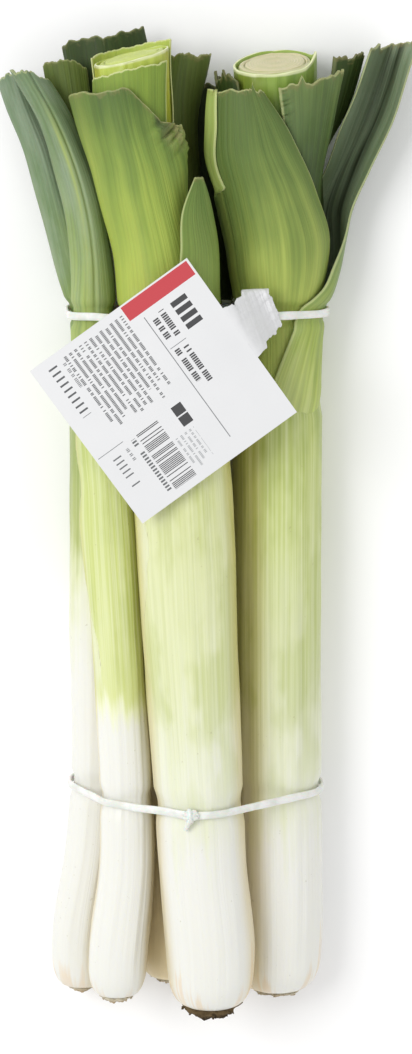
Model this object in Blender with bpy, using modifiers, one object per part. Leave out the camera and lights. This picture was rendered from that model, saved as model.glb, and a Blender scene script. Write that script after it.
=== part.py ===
"""A bunch of five leeks lying on its lower row, held by two elastic ties, with a card tag on the upper tie.

The leeks run along Y with their roots at -Y. Lengths in the tables are millimetres. A leek's white shaft
is lofted through oval sections. A leaf is part of an oval tube that opens out as it leaves the shaft.
"""

import math

import bmesh
import bpy
import numpy as np

MM = 0.001
CENTRE_X = 0.6
CENTRE_Y = -1.4

# Shafts: (y, centre x, centre z, half width, half height), from the root end to the cut top
SHAFT_A = ((-184, -48.8, 11.2, 11.6, 11.6), (-165, -48.2, 11.5, 12, 11.9), (-125, -42.4, 11.6, 11.8, 11.9),
           (-102, -40.6, 11.6, 11.8, 11.8), (-40, -40.3, 11.5, 11.8, 11.7), (45, -40, 11.6, 11.4, 11.6),
           (80, -41.2, 12.8, 10.2, 11.2), (110, -50, 13.6, 8.6, 10.6), (134, -57.4, 14.4, 7.6, 9.6))
SHAFT_B = ((-181, -34.4, 30.8, 11, 10.4), (-167, -33.8, 32, 11.3, 10.4), (-125, -29.9, 33.4, 10.4, 10.2),
           (-102, -30, 33.6, 10.2, 10), (-40, -33, 33.2, 9.8, 10.1), (0, -35.2, 33.4, 9.8, 10.1),
           (45, -37.8, 34, 9.3, 10.1), (80, -41.2, 33.4, 8.5, 10), (104, -41.8, 32.4, 7.8, 9.8),
           (140, -49.6, 28.6, 7.2, 9.4))
SHAFT_C = ((-181.5, 1.8, 39.4, 15.6, 14.8), (-162, 1.6, 40.4, 16.8, 15.6), (-125, -1.5, 41, 16.5, 15.6),
           (-102, -2.7, 41.2, 16.6, 15.3), (-40, -6, 41.4, 17.8, 14.7), (5, -8, 41.4, 18.2, 14.5),
           (45, -10.6, 41.2, 17.5, 14.5), (86, -15.6, 41.2, 16.4, 14.6), (104, -18.2, 40.8, 16, 14.6),
           (135, -24, 40.2, 14.8, 14), (173, -26.6, 39.6, 14.4, 13.2))
SHAFT_D = ((-183.5, 27.6, 15.4, 16.4, 16), (-165, 28, 16, 17.2, 16.8), (-102, 27.2, 16.2, 17.2, 17),
           (0, 26.6, 16.4, 17, 17.2), (60, 26.4, 16.6, 16.8, 17.2), (110, 26.4, 18, 16, 16),
           (172, 25, 23, 15.4, 14.6))
SHAFT_E = ((-180.5, -14, 11.6, 11.8, 11.8), (-125, -13.8, 11.8, 12.2, 12.2), (0, -13.8, 11.8, 12.2, 12.2),
           (80, -16, 11.6, 12, 11.8), (110, -19.4, 11.4, 11, 10.8), (150, -28, 11.4, 10.6, 10))

# Inset of the shaft where loose leaf sheaths lie over it: (y, inset)
INSET_A = ((45, 0), (45.8, 2.2), (134, 2.2))
INSET_B = ((47, 0), (47.8, 2.2), (140, 2.2))
INSET_C = ((48, 0), (48.8, 3.2), (100, 3.2), (150, 1.9), (173, 1.2))
INSET_D = ((42, 0), (42.8, 3.4), (100, 3.4), (160, 0.4), (172, 0.2))
INSET_E = ((92, 0), (92.8, 1.8), (150, 1.8))

# Leaves: (y, centre x, centre z, half width, half height, roundness, keel angle, span below, span above)
# The keel angle is measured from +X towards +Z. Roundness 2 is an oval and 1 folds the keel sharply.
LEAF_A_OUTER = ((46.3, -40, 11.7, 10.3, 10.5, 2, 150, 115, 112),
                (80, -41.2, 12.8, 9.2, 10.2, 2, 150, 112, 100),
                (94, -45.4, 13.2, 9, 10.2, 1.9, 140, 100, 95), (107, -50, 13.6, 7.8, 10.2, 1.8, 130, 95, 95),
                (122, -54.4, 14.2, 7.2, 10, 1.7, 122, 92, 92), (142, -61, 14.8, 6.8, 9.6, 1.6, 112, 90, 90),
                (152, -65, 15.2, 6.4, 9.2, 1.6, 110, 88, 90), (167, -70.6, 15.8, 5.4, 8.6, 1.5, 108, 86, 90))
LEAF_B_OUTER = ((48.3, -37.9, 33.9, 8.2, 9, 2, 95, 115, 115), (80, -41.2, 33.4, 7.5, 9, 2, 95, 108, 108),
                (104, -41.8, 32.4, 6.9, 9.4, 1.8, 93, 90, 92), (118, -43.8, 31.4, 6.6, 9.6, 1.7, 92, 84, 88),
                (134, -48.2, 29.8, 6.4, 9.6, 1.6, 90, 78, 84), (150, -54.6, 28.6, 6.2, 9.4, 1.6, 90, 72, 76),
                (170, -65.6, 27.6, 6.2, 8.8, 1.5, 90, 68, 66))
LEAF_B_BACK = ((128, -43.6, 18.6, 5.4, 4.4, 2, 90, 62, 56), (142, -45.6, 19.4, 6.4, 4.8, 1.9, 88, 60, 60),
               (158, -49.4, 20, 8, 5.4, 1.8, 85, 55, 74), (172, -51.6, 20.4, 8.8, 5.8, 1.8, 84, 55, 76))
LEAF_C_OUTER = ((49.3, -10.9, 41.2, 16.3, 13.3, 2, 95, 150, 150),
                (86, -15.6, 41.2, 15.4, 13.6, 2, 95, 140, 140), (104, -18.2, 40.8, 15, 13.6, 2, 95, 130, 128),
                (125, -22.4, 40.6, 15.4, 13.8, 2, 95, 112, 112),
                (134, -24, 40.6, 16.4, 14.2, 1.9, 95, 102, 104),
                (146, -27, 40.6, 17.4, 14.8, 1.85, 95, 92, 98),
                (166, -30.8, 40.4, 19.8, 15.2, 1.8, 95, 86, 92))
LEAF_C_INNER = ((110, -19.4, 40.6, 13.8, 12.3, 2, -90, 42, 42), (140, -24.6, 40, 14.6, 13.8, 2, -90, 56, 58),
                (178, -26.8, 38.8, 15.8, 14.4, 1.9, -90, 66, 66))
LEAF_C_MIDDLE = ((138, -24.4, 40.2, 13.3, 12.2, 2, 95, 56, 60), (150, -25.4, 40, 13.6, 12.5, 2, 95, 60, 66),
                 (172, -26.7, 39.7, 14, 12.9, 2, 95, 66, 72))
LEAF_C_POINT = ((56, -10.2, 40.2, 19.6, 16.8, 2, 38, 42, 40), (86, -13, 40.2, 17.8, 16.8, 1.9, 38, 42, 42),
                (104, -13.6, 39.8, 17.8, 16.6, 1.8, 36, 38, 38),
                (118, -13.6, 39.6, 17.2, 16.4, 1.7, 45, 24, 25),
                (131, -13.6, 39.4, 17, 16.2, 1.7, 48, 4, 4))
LEAF_D_OUTER = ((43.3, 26.4, 16.6, 15.8, 16.2, 2, -20, 110, 130),
                (60, 26.4, 16.6, 15.8, 16.3, 2, -20, 105, 110),
                (74, 26.6, 16.8, 16.2, 16.4, 2, -20, 100, 92), (82, 27, 17, 17.2, 16.6, 2, -22, 95, 86),
                (90, 28.2, 17.2, 18.8, 16.8, 2, -26, 90, 62), (98, 29.6, 17.4, 20, 16.8, 2, -32, 85, 58),
                (107, 33.6, 17.8, 18, 16.8, 1.95, -42, 75, 54), (118, 41.6, 19, 11.8, 17, 1.8, -62, 56, 68),
                (132, 50.4, 21, 9.2, 17.3, 1.6, -82, 56, 82), (152, 60, 22, 8.4, 16.6, 1.5, -88, 86, 86),
                (182, 70, 22, 7, 15.4, 1.45, -90, 88, 88))
LEAF_D_FRONT = ((52, 26.4, 16.8, 14.1, 14.4, 2, 95, 70, 80), (82, 26.4, 17.2, 14.9, 14.8, 2, 96, 78, 84),
                (96, 26.6, 17.6, 18, 17.2, 1.95, 98, 84, 86), (107, 26.4, 18, 19.4, 18.6, 1.9, 100, 84, 86),
                (125, 23, 20, 20, 19.4, 1.9, 100, 70, 84), (139, 19.6, 22, 21.4, 19.8, 1.85, 100, 52, 80),
                (150, 18.2, 23.6, 20.4, 19.4, 1.8, 100, 40, 76),
                (162, 16.6, 25.4, 17.6, 18, 1.8, 100, 22, 70))
LEAF_D_RIGHT = ((104, 26.4, 18, 13.6, 13.5, 2, 34, 42, 42), (132, 27.2, 19.4, 15.3, 14.7, 2, 36, 42, 46),
                (150, 28.6, 21.8, 17.4, 15.6, 1.9, 38, 42, 56),
                (168, 29.8, 24.6, 19.4, 16.8, 1.85, 40, 44, 66))
LEAF_D_DARK = ((138, 29, 10, 15.2, 10.4, 1.95, 30, 12, 13), (152, 33.6, 9.8, 17.4, 11.6, 1.9, 34, 16, 19),
               (176, 41.6, 10, 18.4, 12, 1.8, 42, 22, 30))
LEAF_D_LEFT = ((104, 26.4, 18, 14, 14, 2, 170, 45, 50), (140, 24.6, 20.6, 15.8, 14.6, 2, 170, 42, 48),
               (168, 20.6, 23, 16.6, 15, 1.8, 168, 40, 45))
LEAF_E_BACK = ((100, -18.2, 11.4, 10.4, 10.2, 2, 95, 72, 80), (130, -24, 10.6, 13.4, 11, 1.9, 95, 72, 80),
               (158, -33, 9, 16.6, 11.4, 1.8, 95, 72, 75), (185, -38, 8.4, 17, 12, 1.7, 95, 68, 68))
LEAF_E_RIGHT = ((100, -18, 12.2, 13, 12, 2, 4, 38, 36), (130, -16.8, 13, 13.8, 13, 1.9, 36, 36, 38),
                (155, -13.6, 13.4, 11.8, 12.8, 1.8, 62, 44, 38), (176, -8.4, 14, 11.6, 12.8, 1.7, 76, 48, 40))
LEAF_E_LOW = ((84, 5.0, 15, 6.0, 10, 2, -90, 56, 60), (106, 3.2, 15, 6.4, 10, 2, -90, 12, 55),
              (128, -1, 14, 10.5, 10, 1.9, -90, 50, 60), (166, -2.5, 13, 12.5, 9.6, 1.8, -92, 66, 64))

LEAF_THICKNESS = 1.0
RIB_DEPTH = 0.22
LEAF_COLUMNS = 10
LEAF_ROW_STEP = 13.0
CORNER_START = 0.1
CORNER_REACH = 0.5
SHAFT_SIDES = 18
SHAFT_ROW_STEP = 22.0
BULB_ROUNDING = 11.0
BULB_SEAT = 0.64
BULB_STEPS = (0.0, 0.3, 0.62, 1.0)
CUT_RIM = 6.0
PLATE_SIDES = 20
PLATE_GAP = 0.35
PLATE_PROFILE = ((0.80, 0.0), (1.0, 0.25), (0.94, 0.62), (0.62, 0.92))
PLATE_LOWEST = 0.4

# Ties: elastic bands 3 mm wide
TIE_LOWER_Y = -102.4
TIE_UPPER_Y = 80.4
TIE_WIDTH = 3.0
TIE_THICKNESS = 1.3
TIE_CLEARANCE = 0.85
TIE_PROFILE = ((-1, 0), (-0.7, -1), (0.7, -1), (1, 0), (0.7, 1), (-0.7, 1))
TIE_PRESS = 1.1
TIE_PRESS_REACH = 5.5
TIE_POINTS = 56
TIE_FOOT = 3.0
OUTLINE_SAMPLES = 96
UPPER_SIDE_Z = 30.0
KNOT_RADIUS = 2.3
KNOT_STRETCH = 1.15
KNOT_FLATTENING = 0.8
KNOT_X = -5.6
TAIL_LENGTH = 7.0
TAIL_RADII = (0.9, 0.6)
TAIL_OFFSET = (-0.9, -4.2, 0.1)
TAIL_TURN = (math.radians(97), 0, math.radians(-12))
TIE_RELIEF = 2.3
TIE_RELIEF_REACH = 6.0
REST_LEVEL = 0.0
SHEATH_REST_LEVEL = 1.4
INSET_LIFT = 2.6

# Tag: a square card with a tab that is folded under the upper tie
CARD_SIDE = 68.0
CARD_CENTRE = (-14.8, 55.3)
CARD_TURN = math.radians(35.4)
CARD_SLOPE = -0.13
CARD_CREST_X = -8.0
CARD_LEVEL = 60.4
CARD_THICKNESS = 0.7
TAB_SIDES = (-9.6, 12.0)
TAB_LENGTH = 16.0
TAB_BEND_LENGTH = 12.0
STRAP_X = (12.8, 22.6)
FOLD_Y = 88.5
FOLD_RADIUS = 1.8
FLAP_LENGTH = 13.0

GREEN_BLUE = (0.29, 0.38, 0.25, 1)
GREEN_DARK = (0.09, 0.15, 0.04, 1)
GREEN_MID = (0.21, 0.34, 0.08, 1)
GREEN_LIGHT = (0.44, 0.56, 0.14, 1)
SHAFT_PALE = (0.80, 0.82, 0.60, 1)
ROOT_BROWN = (0.16, 0.10, 0.05, 1)
ELASTIC_WHITE = (0.86, 0.86, 0.84, 1)
CARD_WHITE = (0.88, 0.88, 0.87, 1)


def track(rows, y):
    """Each column of a table at the given y, along a smooth curve through the rows."""
    table = np.array(rows, float)
    stations = table[:, 0]
    values = table[:, 1:]
    slopes = np.gradient(values, stations, axis=0)
    y = np.clip(np.asarray(y, float), stations[0], stations[-1])
    index = np.clip(np.searchsorted(stations, y, side="right") - 1, 0, len(stations) - 2)
    length = stations[index + 1] - stations[index]
    t = ((y - stations[index]) / length)[..., None]
    step = length[..., None]
    return ((2 * t**3 - 3 * t**2 + 1) * values[index] + (t**3 - 2 * t**2 + t) * step * slopes[index]
            + (3 * t**2 - 2 * t**3) * values[index + 1] + (t**3 - t**2) * step * slopes[index + 1])


def smooth_step(x):
    x = np.clip(x, 0, 1)
    return x * x * (3 - 2 * x)


def rest_height(y, level):
    """The lowest height a surface may have: the floor, raised where a tie passes beneath."""
    near = np.minimum(np.abs(y - TIE_LOWER_Y), np.abs(y - TIE_UPPER_Y))
    return level + TIE_RELIEF * smooth_step((TIE_RELIEF_REACH - near) / TIE_FOOT)


def pressed(columns, y):
    """The columns of a section with its half sizes narrowed where a tie presses into the leeks."""
    near = np.minimum(np.abs(y - TIE_LOWER_Y), np.abs(y - TIE_UPPER_Y))
    narrowed = columns.copy()
    narrowed[..., 2:4] -= (TIE_PRESS * smooth_step((TIE_PRESS_REACH - near) / 2.5))[..., None]
    return narrowed


def power(value, exponent):
    return np.sign(value) * np.abs(value) ** exponent


def oval(columns, angle, roundness=2.0):
    """A point of an oval section, from its centre and half sizes."""
    x = columns[..., 0] + columns[..., 2] * power(np.cos(angle), 2 / roundness)
    z = columns[..., 1] + columns[..., 3] * power(np.sin(angle), 2 / roundness)
    return x, z


def shaft_section(rows, inset, y, angle, scale=1.0):
    """The shaft's outline at y. The inset makes room for sheaths, and the underside is pressed flat."""
    columns = pressed(track(rows, y), y)
    room = np.interp(y, [row[0] for row in inset], [row[1] for row in inset])
    columns[..., 2] = (columns[..., 2] - room) * scale
    columns[..., 3] = (columns[..., 3] - room) * scale
    x, z = oval(columns, angle)
    level = REST_LEVEL + INSET_LIFT * smooth_step(room / 2)
    return x, np.maximum(z, rest_height(y, level))


def leaf_section(rows, y, across):
    """A point of a leaf at y. across runs from -1 at one margin over 0 at the keel to 1 at the other."""
    columns = pressed(track(rows, y), y)
    span = np.where(across < 0, columns[..., 6], columns[..., 7])
    angle = np.radians(columns[..., 5] + across * span)
    x, z = oval(columns, angle, columns[..., 4])
    return x, np.maximum(z, rest_height(y, SHEATH_REST_LEVEL))


def grid_faces(rows, columns, closed):
    """Triangles of a grid, split the same way everywhere."""
    faces = []
    for row in range(rows - 1):
        for column in range(columns if closed else columns - 1):
            after = (column + 1) % columns
            a = row * columns + column
            b = row * columns + after
            c = (row + 1) * columns + after
            d = (row + 1) * columns + column
            faces.append((a, b, c))
            faces.append((a, c, d))
    return faces


def new_material(name, colour, roughness):
    material = bpy.data.materials.new(name)
    material.use_nodes = True
    shader = material.node_tree.nodes["Principled BSDF"]
    shader.inputs["Base Color"].default_value = colour
    shader.inputs["Roughness"].default_value = roughness
    shader.inputs["Metallic"].default_value = 0.0
    return material


def new_object(name, points, faces, material, collection):
    """An object from points in millimetres, moved so that the bunch is centred on the origin."""
    placed = (np.asarray(points, float) - (CENTRE_X, CENTRE_Y, 0)) * MM
    mesh = bpy.data.meshes.new(name)
    mesh.from_pydata([tuple(p) for p in placed], [], faces)
    mesh.materials.append(material)
    made = bpy.data.objects.new(name, mesh)
    collection.objects.link(made)
    return made


def face_outwards(made):
    """Makes the faces of a closed mesh point outwards."""
    work = bmesh.new()
    work.from_mesh(made.data)
    bmesh.ops.recalc_face_normals(work, faces=work.faces)
    if work.calc_volume(signed=True) < 0:
        bmesh.ops.reverse_faces(work, faces=work.faces)
    work.to_mesh(made.data)
    work.free()
    made.data.shade_smooth()
    made.data.set_sharp_from_angle(angle=math.radians(50))


def shaft_stations(rows, inset, cut_y):
    """Where the shaft has rows: evenly spaced, with more at the ties and at the step under the sheaths."""
    first = rows[0][0] + BULB_ROUNDING
    even = np.arange(first, cut_y - CUT_RIM, SHAFT_ROW_STEP)
    special = [inset[0][0], inset[1][0], cut_y - CUT_RIM]
    for tie in (TIE_LOWER_Y, TIE_UPPER_Y):
        special += [tie + reach for reach in (-TIE_RELIEF_REACH, -TIE_FOOT, TIE_FOOT, TIE_RELIEF_REACH)]
    special = [y for y in special if first < y < cut_y - CUT_RIM / 2]
    kept = [y for y in even if all(abs(y - s) > TIE_FOOT for s in special)]
    return sorted(kept + special)


def make_shaft(name, rows, inset, cut_y, slopes, rings, material, collection):
    """A leek's shaft: a rounded bulb end, the oval body, and a slanted cut across rolled layers."""
    turn = np.linspace(0, 2 * math.pi, SHAFT_SIDES, endpoint=False)
    end = rows[0][0]
    circles = []
    for t in BULB_STEPS:
        bend = t * math.pi / 2
        y = end + BULB_ROUNDING * (1 - math.cos(bend))
        scale = BULB_SEAT + (1 - BULB_SEAT) * math.sin(bend)
        x, z = shaft_section(rows, inset, np.full(SHAFT_SIDES, y), turn, scale)
        circles.append(np.stack([x, np.full(SHAFT_SIDES, y), z], 1))
    for y in shaft_stations(rows, inset, cut_y):
        x, z = shaft_section(rows, inset, np.full(SHAFT_SIDES, y), turn)
        circles.append(np.stack([x, np.full(SHAFT_SIDES, y), z], 1))
    for scale, rise in rings:
        x, z = shaft_section(rows, inset, np.full(SHAFT_SIDES, cut_y), turn, scale)
        middle = track(rows, cut_y)
        slanted = cut_y + rise - slopes[0] * (z - middle[1]) + slopes[1] * (x - middle[0])
        circles.append(np.stack([x, slanted, z], 1))
    points = np.concatenate(circles)
    faces = grid_faces(len(circles), SHAFT_SIDES, True)
    first_centre = len(points)
    last_centre = first_centre + 1
    last = (len(circles) - 1) * SHAFT_SIDES
    points = np.vstack([points, circles[0].mean(0), circles[-1].mean(0)])
    for k in range(SHAFT_SIDES):
        after = (k + 1) % SHAFT_SIDES
        faces.append((first_centre, after, k))
        faces.append((last_centre, last + k, last + after))
    made = new_object(name, points, faces, material, collection)
    face_outwards(made)
    return made


def make_root_plate(name, rows, size, depth, seed, material, collection):
    """The trimmed root plate: a low disc with a lumpy rim of root stubs."""
    turn = np.linspace(0, 2 * math.pi, PLATE_SIDES, endpoint=False)
    random = np.random.default_rng(seed)
    lumps = 1 + 0.10 * np.sin(5 * turn + seed) + 0.07 * random.standard_normal(PLATE_SIDES).clip(-1, 1)
    centre_x, centre_z = rows[0][1], rows[0][2]
    top = rows[0][0] - PLATE_GAP
    points = []
    for scale, drop in PLATE_PROFILE:
        bumps = 1 + (lumps - 1) * (0.35 + drop)
        fall = drop * depth * (1 + 0.25 * np.sin(7 * turn + seed) * (drop > 0))
        x = centre_x + size * scale * bumps * np.cos(turn)
        z = centre_z + size * scale * bumps * np.sin(turn)
        points.append(np.stack([x, top - fall, np.maximum(z, PLATE_LOWEST)], 1))
    faces = grid_faces(len(PLATE_PROFILE), PLATE_SIDES, True)
    last = (len(PLATE_PROFILE) - 1) * PLATE_SIDES
    joined = np.concatenate(points)
    top_centre = len(joined)
    joined = np.vstack([joined, (centre_x, top, centre_z), (centre_x, top - depth * 0.8, centre_z)])
    for k in range(PLATE_SIDES):
        after = (k + 1) % PLATE_SIDES
        faces.append((top_centre, after, k))
        faces.append((top_centre + 1, last + k, last + after))
    made = new_object(name, joined, faces, material, collection)
    face_outwards(made)
    return made


def leaf_stations(start, end):
    """Where a leaf has rows of points: evenly spaced, with more where the upper tie crosses it."""
    count = max(int(round((end - start) / LEAF_ROW_STEP)), 3)
    even = np.linspace(start, end, count + 1)
    special = [TIE_UPPER_Y + reach for reach in (-TIE_RELIEF_REACH, -TIE_FOOT, TIE_FOOT, TIE_RELIEF_REACH)]
    special = [y for y in special if start + TIE_FOOT < y < end]
    kept = [y for y in even if all(abs(y - s) > TIE_FOOT + 1 for s in special)]
    return np.array(sorted(kept + special))


def cut_edge(across, cut, ragged, seed):
    """The y of a leaf's cut end: a slanted line with a torn outline, and a torn corner on its lower side."""
    level, slant, bow, corner = cut
    wave = np.sin(5.3 * across + seed) + 0.7 * np.sin(11.7 * across + 2.1 * seed)
    wave += 0.5 * np.sin(23 * across + seed)
    torn = corner * smooth_step((-across - CORNER_START) / CORNER_REACH)
    return level + slant * across + bow * across**2 - torn + ragged * wave


def make_leaf(name, rows, cut, ragged, seed, material, collection):
    """A leaf: a ribbed sheet along its table, one millimetre thick, open at both margins."""
    across = np.linspace(-1, 1, LEAF_COLUMNS + 1)
    stations = leaf_stations(rows[0][0], cut[0])
    along = (stations - stations[0]) / (stations[-1] - stations[0])
    end = cut_edge(across, cut, ragged, seed)
    y = stations[:, None] + (along**5)[:, None] * (end - cut[0])[None, :]
    u = np.broadcast_to(across, y.shape)
    x, z = leaf_section(rows, y, u)
    columns = track(rows, y)
    out_x = x - columns[..., 0]
    out_z = z - columns[..., 1]
    length = np.hypot(out_x, out_z)
    rib = RIB_DEPTH * (np.arange(LEAF_COLUMNS + 1) % 2)[None, :] * smooth_step(along[:, None] * 3)
    x = x + out_x / length * rib
    z = z + out_z / length * rib
    points = np.stack([x, y, z], -1).reshape(-1, 3)
    faces = grid_faces(len(stations), LEAF_COLUMNS + 1, False)
    made = new_object(name, points, faces, material, collection)
    made.data.shade_smooth()
    shell = made.modifiers.new("Thickness", "SOLIDIFY")
    shell.thickness = LEAF_THICKNESS * MM
    shell.offset = solid_side(points, faces, columns)
    shell.use_even_offset = True
    return made


def solid_side(points, faces, columns):
    """1 or -1: the side on which the thickness goes, away from the middle of the leaf's tube."""
    middle = len(faces) // 2
    a, b, c = (points[i] for i in faces[middle])
    normal = np.cross(b - a, c - a)
    flat = columns.reshape(-1, columns.shape[-1])[faces[middle][0]]
    outward = np.array([a[0] - flat[0], 0, a[2] - flat[1]])
    return 1.0 if normal @ outward > 0 else -1.0


def convex_outline(points):
    """The convex outline round 2-D points, in turning order."""
    ordered = sorted(map(tuple, points))

    def chain(sequence):
        kept = []
        for p in sequence:
            while len(kept) > 1:
                (ax, az), (bx, bz) = kept[-2], kept[-1]
                if (bx - ax) * (p[1] - az) - (bz - az) * (p[0] - ax) > 0:
                    break
                kept.pop()
            kept.append(p)
        return kept[:-1]

    return np.array(chain(ordered) + chain(reversed(ordered)))


def tie_route(y, shafts, leaves):
    """The middle line of a tie at y: it spans the leeks like a stretched band, with even point spacing."""
    turn = np.linspace(0, 2 * math.pi, OUTLINE_SAMPLES, endpoint=False)
    across = np.linspace(-1, 1, OUTLINE_SAMPLES)
    level = np.full(OUTLINE_SAMPLES, y)
    grow = TIE_CLEARANCE + TIE_THICKNESS / 2
    cloud = []
    for rows, inset in shafts:
        if rows[-1][0] > y:
            cloud.append(np.stack(shaft_section(rows, inset, level, turn), 1))
    for rows in leaves:
        if rows[0][0] < y:
            x, z = leaf_section(rows, level, across)
            columns = track(rows, level)
            away = np.stack([x - columns[:, 0], z - columns[:, 1]], 1)
            away /= np.linalg.norm(away, axis=1)[:, None]
            cloud.append(np.stack([x, z], 1) + away * (LEAF_THICKNESS + RIB_DEPTH))
    cloud = np.concatenate(cloud)
    ring = np.stack([np.cos(turn), np.sin(turn)], 1) * grow
    outline = convex_outline((cloud[:, None] + ring[None]).reshape(-1, 2))
    closed = np.vstack([outline, outline[:1]])
    run = np.concatenate([[0], np.cumsum(np.linalg.norm(np.diff(closed, axis=0), axis=1))])
    even = np.linspace(0, run[-1], TIE_POINTS, endpoint=False)
    return np.stack([np.interp(even, run, closed[:, 0]), np.interp(even, run, closed[:, 1])], 1)


def make_tie(name, y, route, material, collection):
    """A closed elastic band with rounded edges along its route."""
    ahead = np.roll(route, -1, 0) - np.roll(route, 1, 0)
    ahead /= np.linalg.norm(ahead, axis=1)[:, None]
    outward = np.stack([ahead[:, 1], -ahead[:, 0]], 1)
    half_width = TIE_WIDTH / 2
    half_thickness = TIE_THICKNESS / 2
    points = []
    for along, up in TIE_PROFILE:
        place = route + outward * up * half_thickness
        points.append(np.stack([place[:, 0], np.full(len(route), y + along * half_width), place[:, 1]], 1))
    count = len(route)
    faces = []
    for ring in range(len(TIE_PROFILE)):
        following = (ring + 1) % len(TIE_PROFILE)
        for k in range(count):
            after = (k + 1) % count
            faces.append((ring * count + k, ring * count + after, following * count + after))
            faces.append((ring * count + k, following * count + after, following * count + k))
    made = new_object(name, np.concatenate(points), faces, material, collection)
    face_outwards(made)
    return made


def top_of_route(x, route):
    """The height of a tie's middle line above the leeks at x."""
    upper = route[route[:, 1] > UPPER_SIDE_Z]
    upper = upper[np.argsort(upper[:, 0])]
    return np.interp(x, upper[:, 0], upper[:, 1])


def add_knot(tie, y, route, cutters):
    """Joins a knot and its short tail to the top of a tie."""
    height = top_of_route(KNOT_X, route) + TIE_THICKNESS / 2 + KNOT_RADIUS * 0.35
    work = bmesh.new()
    bmesh.ops.create_uvsphere(work, u_segments=12, v_segments=8, radius=KNOT_RADIUS * MM)
    for vertex in work.verts:
        vertex.co.x *= KNOT_STRETCH
        vertex.co.z *= KNOT_FLATTENING
    mesh = bpy.data.meshes.new("knot")
    work.to_mesh(mesh)
    work.free()
    knot = bpy.data.objects.new("knot", mesh)
    knot.location = ((KNOT_X - CENTRE_X) * MM, (y - CENTRE_Y) * MM, height * MM)
    tail = make_tail(y, height)
    for piece in (knot, tail):
        cutters.objects.link(piece)
        piece.hide_render = True
        piece.display_type = "WIRE"
        join = tie.modifiers.new("Join " + piece.name, "BOOLEAN")
        join.operation = "UNION"
        join.solver = "EXACT"
        join.object = piece


def make_tail(y, height):
    """The loose end beyond the knot, lying towards the roots."""
    work = bmesh.new()
    wide, narrow = TAIL_RADII
    bmesh.ops.create_cone(work, cap_ends=True, segments=8, radius1=wide * MM, radius2=narrow * MM,
                          depth=TAIL_LENGTH * MM)
    mesh = bpy.data.meshes.new("tail")
    work.to_mesh(mesh)
    work.free()
    tail = bpy.data.objects.new("tail", mesh)
    tail.rotation_euler = TAIL_TURN
    offset_x, offset_y, offset_z = TAIL_OFFSET
    place = (KNOT_X + offset_x - CENTRE_X, y + offset_y - CENTRE_Y, height + offset_z)
    tail.location = [length * MM for length in place]
    return tail


def card_axes():
    """The card's two edge directions in the XY plane."""
    cosine, sine = math.cos(CARD_TURN), math.sin(CARD_TURN)
    return np.array([cosine, sine]), np.array([-sine, cosine])


def card_outline():
    """The card's flat outline: a square and the tab on its upper right edge, with the strap laid out flat."""
    along, across = card_axes()
    half = CARD_SIDE / 2
    centre = np.array(CARD_CENTRE)
    corners = {(i, j): centre + i * half * along + j * half * across for i in (-1, 1) for j in (-1, 1)}
    neck = centre + half * along
    tab_end = neck + TAB_LENGTH * along
    strap_end = FOLD_Y + math.pi * FOLD_RADIUS + FLAP_LENGTH
    return [corners[-1, 1], corners[1, 1], neck + TAB_SIDES[1] * across,
            (STRAP_X[0], FOLD_Y), (STRAP_X[0], strap_end), (STRAP_X[1], strap_end), (STRAP_X[1], FOLD_Y),
            tab_end + 0.3 * TAB_SIDES[1] * across, tab_end - 2.6 * along + 0.7 * TAB_SIDES[0] * across,
            neck + TAB_SIDES[0] * across, corners[1, -1], corners[-1, -1]]


def card_surface(x, y, route):
    """The card in space: a gently sloping plane, the tab bent down to the tie, the strap rolled round it."""
    along, _ = card_axes()
    beyond = (x - CARD_CENTRE[0]) * along[0] + (y - CARD_CENTRE[1]) * along[1] - CARD_SIDE / 2
    plane = CARD_LEVEL + CARD_SLOPE * (x - CARD_CREST_X)
    tie_height = top_of_route(x, route) + FOLD_RADIUS
    bend = smooth_step(beyond / TAB_BEND_LENGTH)
    z = plane * (1 - bend) + tie_height * bend
    on_strap = (y > FOLD_Y) & (x > STRAP_X[0] - 1)
    run = np.where(on_strap, y - FOLD_Y, 0)
    rolled = np.minimum(run / FOLD_RADIUS, math.pi)
    rest = np.maximum(run - math.pi * FOLD_RADIUS, 0)
    flat_y = np.where(on_strap, FOLD_Y, y)
    return x, flat_y + FOLD_RADIUS * np.sin(rolled) - rest, z - FOLD_RADIUS * (1 - np.cos(rolled))


def cut_along(work, place, direction):
    """Adds edges where a line in the XY plane crosses a flat mesh."""
    geometry = work.verts[:] + work.edges[:] + work.faces[:]
    bmesh.ops.bisect_plane(work, geom=geometry, plane_co=(*place, 0), plane_no=(*direction, 0), dist=0.01)


def make_tag(name, route, material, collection):
    """The card: its flat outline cut into strips where it bends, laid into space and thickened."""
    work = bmesh.new()
    work.faces.new([work.verts.new((x, y, 0)) for x, y in card_outline()])
    along, across = card_axes()
    neck = np.array(CARD_CENTRE) + CARD_SIDE / 2 * along
    for step in np.linspace(0.5, TAB_BEND_LENGTH, 5):
        cut_along(work, neck + step * along, along)
    for step in np.linspace(0, math.pi * FOLD_RADIUS, 8):
        cut_along(work, (0, FOLD_Y + step), (0, 1))
    for step in (-0.25, 0.0, 0.25):
        cut_along(work, np.array(CARD_CENTRE) + step * CARD_SIDE * along, along)
        cut_along(work, np.array(CARD_CENTRE) + step * CARD_SIDE * across, across)
    bmesh.ops.triangulate(work, faces=work.faces)
    flat = np.array([vertex.co for vertex in work.verts])
    faces = [tuple(vertex.index for vertex in face.verts) for face in work.faces]
    work.free()
    points = np.stack(card_surface(flat[:, 0], flat[:, 1], route), 1)
    made = new_object(name, points, faces, material, collection)
    made.data.shade_smooth()
    made.data.set_sharp_from_angle(angle=math.radians(40))
    shell = made.modifiers.new("Thickness", "SOLIDIFY")
    shell.thickness = CARD_THICKNESS * MM
    shell.offset = 0.0
    return made


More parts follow.
